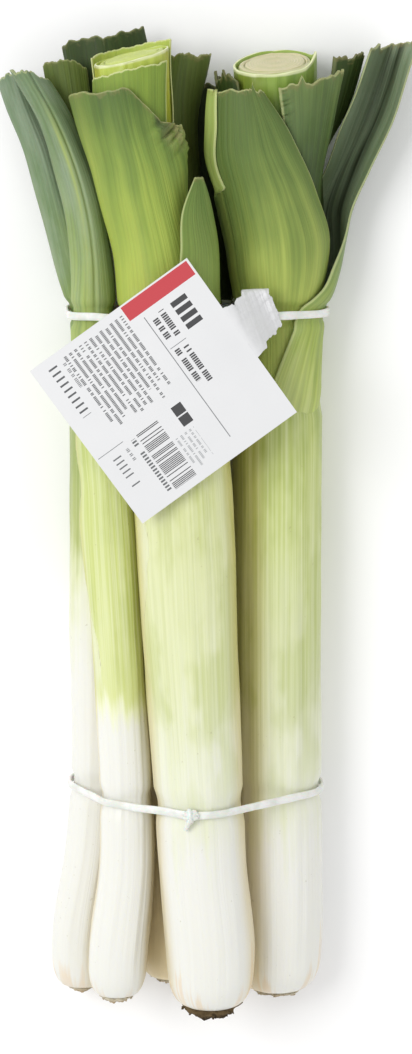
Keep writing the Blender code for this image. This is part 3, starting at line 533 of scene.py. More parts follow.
def leaf(name, material, rows, cut, ragged, seed, slot, spikes=(), fold=None, ruffles=(), sunk=0.0,
         creases=()):
    """A thin closed sheet: its inner face follows the part's section, its outer face is offset from it.

    Shallow ridges follow the veins. A sheath's foot dives under the shaft's skin. Ruffles are short waves
    near a place of the sheet. A crease pushes the sheet in along a line at one share across.
    """
    across = np.linspace(-1, 1, LEAF_ACROSS + 1)[None, :]
    along = np.linspace(0, 1, LEAF_ALONG + 1)[:, None]
    start = rows[0][0]
    end = cut_edge(across, cut, ragged, seed, spikes)
    y = start + along * (cut[0] - start) + along**5 * (end - cut[0])
    u = np.broadcast_to(across, y.shape)
    turned, lift, over = folded_back(u, y, fold)
    x, z = leaf_section(rows, y, turned)
    base = np.stack([x, y, z], -1)
    columns = track(rows, y)
    away = np.stack([x - columns[..., 0], np.zeros_like(x), z - columns[..., 1]], -1)
    normal = normals_of(np.stack([*leaf_section(rows, y, u), y], -1)[..., [0, 2, 1]])
    if (normal * away).sum() < 0:
        normal = -normal
    grown = smooth_step(along * 4)
    width = np.linalg.norm(np.diff(base[len(base) // 2], axis=0), axis=-1).sum()
    strip = u * width / 2
    ridges = LEAF_RIDGE * ripple(strip, int(seed) + 7, 1.7, 4)
    sway = LEAF_SWAY * ripple(y / 9 + u * 1.5, int(seed) + 11, 0.6, 3) * (0.3 + np.abs(u))
    push = (ridges + sway) * grown
    for place, breadth, first, depth in creases:
        push = push - depth * np.exp(-((u - place) / breadth) ** 2) * smooth_step((y - first) / 20)
    for place, level, breadth, reach, height in ruffles:
        near = np.exp(-((u - place) / breadth) ** 2 - ((y - level) / reach) ** 2)
        push = push + near * height * (0.6 + ripple(y + strip * 0.6, int(seed) + 23, 0.8, 4))
    push = push + lift
    if sunk:
        foot = y - start - 2.5 * ripple(strip, int(seed) + 31, 0.25, 4)
        push = push - sunk * (1 - smooth_step(foot / SHEATH_FOOT)) + SHEATH_LIFT
    inner = base + normal * push[..., None]
    thin = LEAF_THICKNESS * (1 - LEAF_THINNING * np.abs(u) ** 10)
    outer = inner + normal * thin[..., None]
    loop = np.concatenate([outer, inner[:, ::-1]], 1)
    count = loop.shape[1]
    points = loop.reshape(-1, 3)
    points[:, 2] = np.maximum(points[:, 2], rest_height(points[:, 1], SHEATH_REST_LEVEL - 1))
    place = np.stack([strip, y, np.full_like(y, seed * LEAF_SHIFT)], -1)
    inside = np.repeat(np.broadcast_to((0.0, 1.0), (len(loop), 2)), count // 2, axis=1)
    doubled = {"margin": (1 - np.abs(u)) * width / 2, "tip": np.maximum(end - y, 0), "over": over,
               "across": u}
    fields = {
        "grain": (both_faces(place) + inside[..., None] * INNER_SHIFT).reshape(-1, 3),
        "inside": inside.ravel(),
        "foot": np.repeat(y.mean(1) - start, count),
        **{label: both_faces(values).ravel() for label, values in doubled.items()},
    }
    new_piece(name + "_skin", points, sheet_faces(len(loop), count), material, name, slot, fields, sharp=70)


# Root plates

def root_plate(name, material, rows, size, depth, seed, stubs, horns):
    """A low rough disc, drawn in below its rim, with short root stubs round it.

    Its rim climbs the bulb on the left and right by the horns' height. A stub is a ring of points carried
    along a bent line, thinner towards its tip.
    """
    random = np.random.default_rng(seed)
    turn = circle(PLATE_SIDES)[None, :]
    centre_x, centre_z = rows[0][1], rows[0][2]
    top = rows[0][0] - PLATE_GAP
    drop = np.linspace(0, 1, PLATE_RINGS)[:, None]
    outline = np.interp(drop, (0, 0.2, 0.6, 0.85, 1.0), (0.84, 1.0, 0.95, 0.62, 0.05))
    lumps = 1 + 0.08 * ripple(turn * 3, seed, 1.0, 5) * (0.4 + drop)
    lumps = lumps + 0.05 * ripple(turn * 9 + drop * 7, seed + 3, 1.0, 4)
    x = centre_x + size * outline * lumps * np.cos(turn)
    z = centre_z + size * outline * lumps * np.sin(turn)
    fall = depth * (0.92 * drop**0.8 + 0.12 * ripple(x + z * 1.3, seed + 9, 0.9, 5) * smooth_step(drop * 3))
    climb = horns * (outline * np.cos(turn)) ** 2 + 0.2 * horns * ripple(turn * 5, seed, 1.0, 4) * outline
    x = x + 0.25 * np.abs(climb) * np.cos(turn)
    disc = np.stack([x, top - fall + climb, np.maximum(z, 0.3)], -1)
    shells = [(np.vstack([disc.reshape(-1, 3), disc[0].mean(0), disc[-1].mean(0)]),
               capped(PLATE_RINGS, PLATE_SIDES))]

    ranges = ((0, 2 * math.pi), (0.45, 0.98), (0.5, 1.5), (0.4, 0.8), (0.1, 0.9))
    draws = [random.uniform(low, high, stubs)[:, None, None] for low, high in ranges]
    angle, reach, length, thick, lean = draws
    length = length * depth / FULL_STUB_DEPTH
    step = np.linspace(0, 1, STUB_RINGS)[None, :, None]
    around = circle(STUB_SIDES)[None, None, :]
    radial = size * reach + lean * length * step**1.5
    girth = thick * (1 - 0.45 * step)
    x = centre_x + radial * np.cos(angle) + girth * np.cos(around)
    z = centre_z + radial * np.sin(angle) + girth * np.sin(around)
    y = top - depth * (0.25 + 0.45 * (1 - reach)) - length * step + 0 * around
    roots = np.stack([x, y, np.maximum(z, 0.2)], -1).reshape(stubs, -1, 3)
    end = np.arange(STUB_SIDES)[None]
    tube_faces = [ring_quads(STUB_RINGS, STUB_SIDES), end, end[:, ::-1] + (STUB_RINGS - 1) * STUB_SIDES]
    points, faces = joined(shells + [(root, tube_faces) for root in roots])
    deep = np.clip((top - points[:, 1]) / depth, 0, 1.4)
    new_piece(name + "_skin", points, faces, material, name, "root", {"depth": deep}, sharp=80)


# Ties

def convex_outline(points):
    """The convex outline round 2-D points, in turning order."""
    ordered = sorted(map(tuple, points))

    def chain(sequence):
        kept = []
        for p in sequence:
            while len(kept) > 1:
                (ax, az), (bx, bz) = kept[-2], kept[-1]
                if (bx - ax) * (p[1] - az) - (bz - az) * (p[0] - ax) > 0:
                    break
                kept.pop()
            kept.append(p)
        return kept[:-1]

    return np.array(chain(ordered) + chain(reversed(ordered)))


def tie_route(y, shafts, leaves):
    """A tie's middle line at y: it spans the leeks like a stretched band, with evenly spaced points."""
    turn = circle(OUTLINE_SAMPLES)
    across = np.linspace(-1, 1, OUTLINE_SAMPLES)
    level = np.full(OUTLINE_SAMPLES, y)
    cloud = [np.stack(shaft_section(rows, inset, level, turn), 1)
             for rows, inset in shafts if rows[-1][0] > y]
    for rows in leaves:
        if rows[0][0] < y:
            edge = np.stack(leaf_section(rows, level, across), 1)
            away = unit(edge - track(rows, level)[:, :2])
            cloud.append(edge + away * (LEAF_THICKNESS + RIB_ALLOWANCE))
    ring = np.stack([np.cos(turn), np.sin(turn)], 1) * (TIE_CLEARANCE + TIE_THICKNESS / 2)
    outline = convex_outline((np.concatenate(cloud)[:, None] + ring[None]).reshape(-1, 2))
    return along_line([*outline, outline[0]], np.linspace(0, 1, TIE_POINTS, endpoint=False))


def height_on(x, route):
    """The height of a tie's middle line above the leeks at x."""
    upper = route[route[:, 1] > UPPER_SIDE_Z]
    upper = upper[np.argsort(upper[:, 0])]
    return np.interp(x, upper[:, 0], upper[:, 1])


def band(route, y):
    """The tie's band: a rounded flat profile carried round its route, waving a little along it."""
    ahead = unit(np.roll(route, -3, 0) - np.roll(route, 3, 0))
    away = np.stack([ahead[:, 1], -ahead[:, 0]], 1)
    turn = circle(TIE_SIDES)
    run = circle(len(route))
    width = TIE_WIDTH / 2 * (1 + 0.05 * ripple(np.sin(run) * 9, 5, 1.0, 3))
    sway = 0.25 * ripple(np.cos(run) * 4 + np.sin(run) * 3, 8, 1.0, 3)
    along = power(np.cos(turn), 0.75)[None, :] * width[:, None] + sway[:, None]
    up = power(np.sin(turn), 0.75)[None, :] * TIE_THICKNESS / 2
    x = route[:, :1] + away[:, :1] * up
    z = route[:, 1:] + away[:, 1:] * up
    points = np.stack([x, y + along, z], -1).reshape(-1, 3)
    quads = ring_quads(len(route) + 1, TIE_SIDES) % len(points)
    return points, outward(points, [quads])


def tube(path, radii, sides):
    """A round tube along a path of points, with closed ends: rings turned square to the path's direction."""
    ahead = unit(np.gradient(path, axis=0))
    aside = unit(np.cross(ahead, (0.0, 0.0, 1.0)))
    above = np.cross(aside, ahead)
    turn = circle(sides)[None, :, None]
    rings = path[:, None] + radii[:, None, None] * (aside[:, None] * np.cos(turn)
                                                    + above[:, None] * np.sin(turn))
    points = np.vstack([rings.reshape(-1, 3), path[:1], path[-1:]])
    return points, outward(points, capped(len(path), sides))


def knot(route, y):
    """The knot's shells: a pinched bead, a turn of the band over it, and the loose end beyond it."""
    height = height_on(KNOT_X, route) + TIE_THICKNESS / 2 + KNOT_RADIUS * 0.35
    turn = circle(BEAD_SIDES)[None, :]
    rise = np.linspace(0.04, math.pi - 0.04, BEAD_RINGS)[:, None]
    swell = KNOT_RADIUS * (1 + 0.10 * np.sin(3 * turn + 2.2 * rise) + 0.07 * np.sin(5 * turn - 4 * rise))
    x = KNOT_X + 1.15 * swell * np.cos(rise)
    around_y = y + swell * np.sin(rise) * np.cos(turn)
    z = height + 0.8 * swell * np.sin(rise) * np.sin(turn)
    bead = np.stack([x, around_y, z], -1)
    points = np.vstack([bead.reshape(-1, 3), bead[0].mean(0), bead[-1].mean(0)])
    step = np.linspace(0, 1, 40)
    swing = step * 2 * math.pi * 0.85 - 0.6
    over = np.stack([KNOT_X + 1.3 * (step - 0.5), y + 2.1 * np.cos(swing), height + 1.6 * np.sin(swing)], 1)
    loose = np.stack([KNOT_X - 0.3 - 1.7 * step, y - 1.2 - 4.6 * step,
                      height + 0.4 - 0.7 * step + 0.4 * np.sin(step * 5)], 1)
    return [(points, outward(points, capped(BEAD_RINGS, BEAD_SIDES))),
            tube(over, np.full(len(step), 0.8), 12), tube(loose, 1.0 - 0.25 * step**2, 12)]


# Tag

def card_axes():
    """The card's two edge directions in the XY plane."""
    cosine, sine = math.cos(CARD_TURN), math.sin(CARD_TURN)
    return np.array([cosine, sine]), np.array([-sine, cosine])


def card_surface(x, y, route):
    """The card in space: a gently sloping plane, the tab bent down to the tie, the strap rolled round it."""
    along, across = card_axes()
    beyond = (x - CARD_CENTRE[0]) * along[0] + (y - CARD_CENTRE[1]) * along[1] - CARD_SIDE / 2
    aside = (x - CARD_CENTRE[0]) * across[0] + (y - CARD_CENTRE[1]) * across[1]
    plane = CARD_LEVEL + CARD_SLOPE * (x - CARD_CREST_X)
    bow = 0.5 * np.cos(aside / CARD_SIDE * math.pi) * smooth_step(-beyond / 12)
    tie_height = height_on(x, route) + FOLD_RADIUS
    bend = smooth_step(beyond / TAB_BEND_LENGTH)
    crumple = 0.42 * ripple(x * 1.1 + y * 0.4, 3, 0.75, 5) + 0.36 * ripple(y - 0.7 * x, 4, 0.7, 5)
    z = plane * (1 - bend) + tie_height * bend + bow + crumple * smooth_step(beyond / 6)
    on_strap = (y > FOLD_Y) & (x > STRAP_X[0] - 1)
    run = np.where(on_strap, y - FOLD_Y, 0)
    rolled = np.minimum(run / FOLD_RADIUS, math.pi)
    rest = np.maximum(run - math.pi * FOLD_RADIUS, 0)
    flat_y = np.where(on_strap, FOLD_Y, y)
    place_y = flat_y + FOLD_RADIUS * np.sin(rolled) - rest
    return np.stack([x, place_y, z - FOLD_RADIUS * (1 - np.cos(rolled))], -1)


def slab(middle, thickness):
    """A closed sheet round a grid of middle points: a loop of both its faces for each row."""
    normal = normals_of(middle)
    loop = np.concatenate([middle + normal * thickness / 2, (middle - normal * thickness / 2)[:, ::-1]], 1)
    points = loop.reshape(-1, 3)
    return points, outward(points, sheet_faces(len(loop), loop.shape[1]))


def tag(material, route):
    """The card's square as one grid, and the tab with its strap as another between its two side lines."""
    along, across = card_axes()
    centre = np.array(CARD_CENTRE)
    half = CARD_SIDE / 2
    share = np.linspace(0, 1, 110)

    def torn_side(corners, inwards, last, seed, waves):
        """A side line, pulled in raggedly between the start of the tear and its last share."""
        torn = smooth_step((share - TORN_START) / TORN_FADE) * smooth_step((last - share) / TORN_FADE)
        depth = torn * (0.4 + 0.8 * ripple(share, seed, waves, 4))
        return along_line(corners, share) + depth[:, None] * inwards

    neck = centre + half * along
    tab_end = neck + TAB_LENGTH * along
    strap_end = FOLD_Y + math.pi * FOLD_RADIUS + FLAP_LENGTH
    left = [neck + TAB_SIDES[1] * across, (STRAP_X[0], FOLD_Y), (STRAP_X[0], strap_end)]
    right = [neck + TAB_SIDES[0] * across, tab_end - 2.6 * along + 0.7 * TAB_SIDES[0] * across,
             tab_end + 0.3 * TAB_SIDES[1] * across, (STRAP_X[1], FOLD_Y), (STRAP_X[1], strap_end)]
    wide = np.linspace(0, 1, 44)[None, :, None]
    tab = (torn_side(left, -across, 0.27, 17, 24)[:, None] * (1 - wide)
           + torn_side(right, across, 0.54, 19, 34)[:, None] * wide)
    even = np.linspace(-half, half, 90)
    square = centre + even[:, None, None] * along + even[None, :, None] * across
    shells, places = [], []
    for flat in (square, tab):
        shells.append(slab(card_surface(flat[..., 0], flat[..., 1], route), CARD_THICKNESS))
        away = flat - centre
        place = np.stack([away @ along, away @ across, np.zeros(away.shape[:2])], -1)
        places.append(both_faces(place).reshape(-1, 3))
    fields = {"print_place": np.vstack(places)}
    new_piece("tag_card", *joined(shells), material, "tag", "card", fields, sharp=50)


# Finishes

def srgb(red, green, blue):
    """A linear colour from screen values of 0 to 255."""
    def linear(value):
        value /= 255
        return value / 12.92 if value <= 0.04045 else ((value + 0.055) / 1.055) ** 2.4
    return (linear(red), linear(green), linear(blue), 1.0)


def put_in(tree, kind, values=(), **settings):
    """Adds a node with its settings, and fills its inputs, in order or by name, with sockets or values."""
    made = tree.nodes.new(kind)
    for key, value in settings.items():
        setattr(made, key, value)
    pairs = values.items() if isinstance(values, dict) else enumerate(values)
    for key, value in pairs:
        if isinstance(value, bpy.types.NodeSocket):
            tree.links.new(value, made.inputs[key])
        else:
            made.inputs[key].default_value = value
    return made


def put(kind, values, **settings):
    """Adds a node to the tree that the first socket among its values belongs to."""
    given = values.values() if isinstance(values, dict) else values
    tree = next(value.id_data for value in given if isinstance(value, bpy.types.NodeSocket))
    return put_in(tree, kind, values, **settings)


def calc(operation, *values):
    """A sum of one step, from sockets and plain numbers."""
    return put("ShaderNodeMath", values, operation=operation).outputs[0]


def times(first, second):
    return calc("MULTIPLY", first, second)


def plus(first, second):
    return calc("ADD", first, second)


def minus(first, second):
    return calc("SUBTRACT", first, second)


def scaled(value, factor, shift):
    """A value times a factor, and a shift added."""
    return calc("MULTIPLY_ADD", value, factor, shift)


def remap(value, low, high, to_low=0.0, to_high=1.0):
    """A value moved from one range to another, held inside it, with soft ends."""
    values = (value, low, high, to_low, to_high)
    return put("ShaderNodeMapRange", values, interpolation_type="SMOOTHSTEP").outputs[0]


def mix(share, first, second, how="MIX"):
    """Two colours mixed by a share. A plain one is given as screen values of 0 to 255."""
    first, second = (srgb(*colour) if isinstance(colour, tuple) else colour for colour in (first, second))
    made = put("ShaderNodeMix", {0: share, 6: first, 7: second}, data_type="RGBA", blend_type=how)
    return made.outputs[2]


def noise(place, size, detail=3.0, rough=0.55):
    """Soft noise between 0 and 1, finer as the size value rises."""
    values = {"Vector": place, "Scale": size, "Detail": detail, "Roughness": rough}
    return put("ShaderNodeTexNoise", values).outputs[0]


def stretch(place, x, y, z):
    """A place scaled by its own amount along each axis."""
    return put("ShaderNodeVectorMath", (place, (x, y, z)), operation="MULTIPLY").outputs[0]


def field(tree, name, output="Fac"):
    """A value that a piece's mesh carries at each point."""
    made = put_in(tree, "ShaderNodeAttribute", attribute_name=name, attribute_type="GEOMETRY")
    return made.outputs[output]


def object_place(tree):
    return put_in(tree, "ShaderNodeTexCoord").outputs["Object"]


def ramp(share, stops):
    """Colours, given as screen values or with an alpha as linear ones, at positions between 0 and 1."""
    made = put("ShaderNodeValToRGB", (share,))
    elements = made.color_ramp.elements
    while len(elements) > 1:
        elements.remove(elements[-1])
    for k, (position, colour) in enumerate(stops):
        stop = elements.new(position) if k else elements[0]
        stop.position = position
        stop.color = colour if len(colour) == 4 else srgb(*colour)
    return made.outputs[0]


def new_group(name, numbers, outputs):
    """An empty shader node group: a Place and named numbers go in, and named numbers come out."""
    tree = bpy.data.node_groups.new(name, "ShaderNodeTree")
    tree.interface.new_socket("Place", in_out="INPUT", socket_type="NodeSocketVector")
    for side, labels in (("INPUT", numbers), ("OUTPUT", outputs)):
        for label in labels:
            tree.interface.new_socket(label, in_out=side, socket_type="NodeSocketFloat")
    return tree, tree.nodes.new("NodeGroupInput").outputs, tree.nodes.new("NodeGroupOutput").inputs


def leek_veins():
    """Streaks and fine veins that run along a leek, from its unrolled place in millimetres.

    Streaks are broad soft bands, Veins are fine lines, Mottle is a slow drift of tone, and Height is
    the relief of the veins.
    """
    tree, given, out = new_group("Leek veins", ("Spacing",), ("Streaks", "Veins", "Mottle", "Height"))
    narrow = calc("DIVIDE", 1.0, given["Spacing"])
    place = put("ShaderNodeVectorMath", {0: given["Place"], "Scale": narrow}, operation="SCALE").outputs[0]
    streaks = noise(stretch(place, 0.22, 0.006, 0.22), 1.0, 4.0, 0.6)
    lines = noise(stretch(place, 0.95, 0.008, 0.95), 1.0, 2.0, 0.5)
    hair = noise(stretch(place, 2.3, 0.02, 2.3), 1.0, 1.0, 0.5)
    veins = plus(times(lines, 0.65), times(hair, 0.35))
    tree.links.new(remap(streaks, 0.30, 0.70), out["Streaks"])
    tree.links.new(remap(veins, 0.36, 0.64), out["Veins"])
    tree.links.new(remap(noise(stretch(place, 0.06, 0.022, 0.06), 1.0, 3.0), 0.3, 0.7), out["Mottle"])
    tree.links.new(veins, out["Height"])
    return tree


def worn_edge():
    """Masks at a leaf's edges, from the distances to its side margins and its cut end in millimetres.

    Rim is the pale thin edge. Dry is the browned, frayed strip at the cut, uneven along it.
    """
    tree, given, out = new_group("Leaf edge", ("Margin", "Tip", "Width"), ("Rim", "Dry"))
    rough = noise(stretch(given["Place"], 0.5, 0.5, 0.5), 1.0, 3.0)
    margin = minus(1.0, remap(calc("DIVIDE", given["Margin"], given["Width"]), 0.4, 1.0))
    tip = minus(1.0, remap(given["Tip"], 0.15, 0.75))
    tree.links.new(calc("MAXIMUM", margin, tip), out["Rim"])
    reach = scaled(rough, 4.5, -0.9)
    dry = minus(1.0, remap(minus(given["Tip"], reach), -0.8, 0.8))
    tree.links.new(times(dry, remap(rough, 0.35, 0.6)), out["Dry"])
    return tree


VEINS = leek_veins()
EDGE = worn_edge()
VEIN_SPACING = 1.0
CUT_RIM = (222, 226, 178)
LEAF_RIM = (204, 210, 150)
DRIED = (128, 120, 76)
SPECK = (150, 140, 100)
CUT_GAP_SHADE = (96, 112, 40)
FIRST_Y = -190.0
LAST_Y = 190.0


def new_finish(name, **settings):
    """A material and its node tree. Uniform values are set on its shader's own sockets."""
    made = bpy.data.materials.new(name)
    made.use_nodes = True
    tree = made.node_tree
    shader = tree.nodes["Principled BSDF"]
    for key, value in settings.items():
        shader.inputs[key.replace("_", " ")].default_value = value
    return made, tree


def finish_with(made, colour, roughness, height, depth, strength):
    """The material, with the colour, the roughness and the relief, in metres, fed to its shader."""
    tree = made.node_tree
    shader = tree.nodes["Principled BSDF"]
    tree.links.new(colour, shader.inputs["Base Color"])
    tree.links.new(roughness, shader.inputs["Roughness"])
    bump = put("ShaderNodeBump", {"Strength": strength, "Distance": depth, "Height": height})
    tree.links.new(bump.outputs[0], shader.inputs["Normal"])
    return made


def along_leek(tree, veins, stops, drift):
    """The colour at a place's height along the bunch, with streaks that shift it by up to the drift."""
    place = object_place(tree)
    y = put("ShaderNodeSeparateXYZ", (place,)).outputs[1]
    level = scaled(y, 1 / MM, CENTRE_Y)
    slide = scaled(veins.outputs["Streaks"], drift, -drift / 2)
    slide = plus(slide, scaled(veins.outputs["Mottle"], drift * 0.7, -drift * 0.35))
    level = plus(level, slide)
    share = calc("DIVIDE", minus(level, FIRST_Y), LAST_Y - FIRST_Y)
    return ramp(share, [((stop - FIRST_Y) / (LAST_Y - FIRST_Y), colour) for stop, colour in stops])


def shaft_skin(name, stops, cut_colour, rim_colour, drift, pale_veins, white_end):
    """A leek's shaft: white at the root, greener upwards in streaks, glossy, with fine veins.

    The cut face shows pale rings, greener outside, with painted shade in the sunken gaps between its
    rolled layers. A sheath's torn edge is a thin dark line of painted shadow beside a pale one, and the
    bared skin beside it is whiter. The sides that face a neighbouring leek get a warm painted shade.
    """
    made, tree = new_finish(name, Subsurface_Weight=0.12, Subsurface_Scale=0.003, Coat_Weight=0.12,
                            Coat_Roughness=0.25, Specular_IOR_Level=0.45,
                            Subsurface_Radius=(1.0, 0.9, 0.4))
    grain = field(tree, "grain", "Vector")
    veins = put("ShaderNodeGroup", {"Place": grain, "Spacing": VEIN_SPACING}, node_tree=VEINS)
    skin = along_leek(tree, veins, stops, drift)
    y = put("ShaderNodeSeparateXYZ", (grain,)).outputs[1]
    green = remap(y, white_end - 15, white_end + 45)
    mottle = remap(veins.outputs["Mottle"], 0.35, 0.85, 0.0, 0.4)
    skin = mix(times(mottle, green), skin, (212, 220, 156), "MULTIPLY")
    pale = times(remap(y, 120, 70, 0.0, pale_veins), green)
    skin = mix(times(veins.outputs["Veins"], pale), skin, (232, 234, 208))
    lines = times(minus(1.0, veins.outputs["Veins"]), 0.13)
    skin = mix(times(lines, green), skin, (196, 206, 158), "MULTIPLY")
    skin = mix(times(lines, 0.5), skin, (226, 220, 206), "MULTIPLY")
    skin = mix(times(field(tree, "bared"), 0.5), skin, (226, 228, 204))
    edge = field(tree, "margin")
    skin = mix(remap(edge, 0.75, 0.35, 0.0, 0.45), skin, (224, 226, 190))
    # Painted shadow: the thin dark line where a raised torn sheath edge shades the skin beside it.
    skin = mix(remap(edge, 0.32, 0.12, 0.0, 0.7), skin, (140, 132, 78))
    # Painted shade: a warm darker tone on the sides that face a neighbouring leek.
    skin = mix(times(field(tree, "painted_gap_shade"), 0.7), skin, (236, 218, 172), "MULTIPLY")
    skin = mix(remap(field(tree, "top"), 1.3, 0.4, 0.0, 0.8), skin, CUT_RIM)
    dots = noise(stretch(grain, 0.55, 0.4, 0.55), 1.0, 2.0, 0.7)
    skin = mix(remap(dots, 0.70, 0.78, 0.0, 0.3), skin, SPECK)
    layer = field(tree, "layer")
    rings = calc("ABSOLUTE", calc("SINE", times(layer, 46.0)))
    face = mix(times(rings, 0.35), cut_colour, rim_colour)
    face = mix(remap(layer, 0.84, 0.93), face, rim_colour)
    face = mix(remap(layer, 0.94, 0.97), face, CUT_RIM)
    # Painted shade in the sunken gaps between the cut face's rolled layers.
    gaps = ((0, 0), (0.70, 0), (0.73, 0.6), (0.76, 0), (0.86, 0.2), (0.905, 1), (0.935, 0))
    gaps = ramp(layer, [(position, (depth, depth, depth, 1)) for position, depth in gaps])
    face = mix(times(gaps, 0.8), face, CUT_GAP_SHADE)
    colour = mix(remap(layer, 1.6, 1.2), skin, face)
    rough = scaled(veins.outputs["Veins"], 0.14, 0.34)
    return finish_with(made, colour, rough, veins.outputs["Height"], 0.0007, 0.35)


def leaf_skin(name, stops, drift, within, bloom=0.0, rim=0.55, dry=0.45, contrast=0.3, edge_width=0.7,
              streaks=()):
    """A leaf: its colour along the bunch in streaks, darker lines between the veins, and another tone within.

    Bloom is a pale grey wax in patches. A streak is a band of another tone: its share across, its breadth,
    its strengths between two distances from the tip, and the tone. The thin margin is pale, and the cut
    end is dried in places.
    """
    made, tree = new_finish(name, Subsurface_Weight=0.06, Subsurface_Scale=0.002, Coat_Weight=0.03,
                            Coat_Roughness=0.35, Specular_IOR_Level=0.28)
    grain = field(tree, "grain", "Vector")
    veins = put("ShaderNodeGroup", {"Place": grain, "Spacing": VEIN_SPACING}, node_tree=VEINS)
    skin = along_leek(tree, veins, stops, drift)
    inner, amount = within
    skin = mix(times(field(tree, "inside"), amount), skin, inner)
    lines = times(minus(1.0, veins.outputs["Veins"]), contrast)
    skin = mix(lines, skin, (120, 140, 80), "MULTIPLY")
    skin = mix(times(veins.outputs["Streaks"], contrast * 0.5), skin, (190, 205, 120), "SOFT_LIGHT")
    if bloom:
        wax = noise(stretch(grain, 0.10, 0.03, 0.1), 1.0, 5.0, 0.65)
        waxed = times(remap(wax, 0.3, 0.72, 0.0, bloom), remap(field(tree, "foot"), 4, 45))
        skin = mix(waxed, skin, (160, 172, 154))
    skin = mix(times(field(tree, "over"), 0.65), skin, (172, 190, 100))
    for middle, breadth, reach, tone in streaks:
        away = calc("ABSOLUTE", minus(field(tree, "across"), middle))
        patchy = times(remap(away, breadth, breadth * 0.3), veins.outputs["Streaks"])
        patchy = times(patchy, remap(field(tree, "tip"), *reach))
        skin = mix(patchy, skin, tone)
    edge = put("ShaderNodeGroup", {"Margin": field(tree, "margin"), "Tip": field(tree, "tip"),
                                   "Place": grain, "Width": edge_width}, node_tree=EDGE)
    skin = mix(times(edge.outputs["Rim"], rim), skin, LEAF_RIM)
    skin = mix(times(edge.outputs["Dry"], dry), skin, DRIED)
    rough = scaled(veins.outputs["Veins"], 0.16, 0.5)
    return finish_with(made, skin, rough, veins.outputs["Height"], 0.0009, 0.45)


def root_finish(name, pale, dark):
    """A trimmed root plate: fibrous browns, paler where it joins the bulb, darkest at its rim."""
    made, tree = new_finish(name, Specular_IOR_Level=0.2)
    place = object_place(tree)
    fibres = noise(place, 900.0, 6.0, 0.7)
    patches = noise(place, 260.0, 4.0, 0.6)
    deep = plus(field(tree, "depth"), scaled(patches, 0.9, -0.45))
    colour = mix(remap(deep, 0.0, 0.75), pale, dark)
    colour = mix(remap(fibres, 0.5, 0.72, 0.0, 0.5), colour, (150, 126, 88))
    rough = scaled(fibres, 0.2, 0.75)
    return finish_with(made, colour, rough, fibres, 0.0012, 0.9)


def elastic_finish():
    """White elastic: faint lengthwise ribs and a slightly greyer tone in soft patches."""
    made, tree = new_finish("Elastic white", Subsurface_Weight=0.25, Subsurface_Scale=0.0015,
                            Specular_IOR_Level=0.5, Coat_Weight=0.2)
    place = object_place(tree)
    cloud = noise(place, 160.0, 3.0)
    ribs = noise(stretch(place, 60.0, 3200.0, 60.0), 1.0, 1.0)
    colour = mix(remap(cloud, 0.35, 0.65), (216, 220, 212), (234, 235, 232))
    rough = scaled(cloud, 0.2, 0.28)
    return finish_with(made, colour, rough, ribs, 0.0004, 0.5)


def printed_block():
    """A mask of generic print in a rectangle of the card: rows of short strokes with ragged ends.

    Rows are stacked along S with the given pitch, and a row runs along T. A share of each pitch is
    inked, and each stroke is inked or left out by a seeded draw.
    """
    numbers = ("Centre S", "Centre T", "Half S", "Half T", "Row pitch", "Row share", "Stroke",
               "Stroke share", "Gaps", "Ragged")
    tree, given, out = new_group("Printed block", numbers, ("Ink",))
    parts = put("ShaderNodeSeparateXYZ", (given["Place"],)).outputs
    s = minus(parts[0], given["Centre S"])
    t = minus(parts[1], given["Centre T"])
    rows = calc("DIVIDE", plus(s, given["Half S"]), given["Row pitch"])
    row = calc("FLOOR", rows)
    inked_row = calc("LESS_THAN", calc("FRACT", rows), given["Row share"])
    strokes = calc("DIVIDE", t, given["Stroke"])
    stroke = calc("FLOOR", strokes)
    inked_stroke = calc("LESS_THAN", calc("FRACT", strokes), given["Stroke share"])
    pair = put("ShaderNodeCombineXYZ", (row, stroke)).outputs[0]
    drawn = put("ShaderNodeTexWhiteNoise", {"Vector": pair}, noise_dimensions="2D").outputs[0]
    kept = calc("GREATER_THAN", drawn, given["Gaps"])
    single = put("ShaderNodeCombineXYZ", (row, 7.0)).outputs[0]
    row_end = put("ShaderNodeTexWhiteNoise", {"Vector": single}, noise_dimensions="2D").outputs[0]
    reach = minus(times(row_end, given["Ragged"]), given["Half T"])
    within = calc("LESS_THAN", calc("ABSOLUTE", s), given["Half S"])
    within = times(within, calc("LESS_THAN", t, given["Half T"]))
    within = times(within, calc("GREATER_THAN", t, reach))
    ink = times(times(inked_row, inked_stroke), times(kept, within))
    tree.links.new(ink, out["Ink"])
    return tree


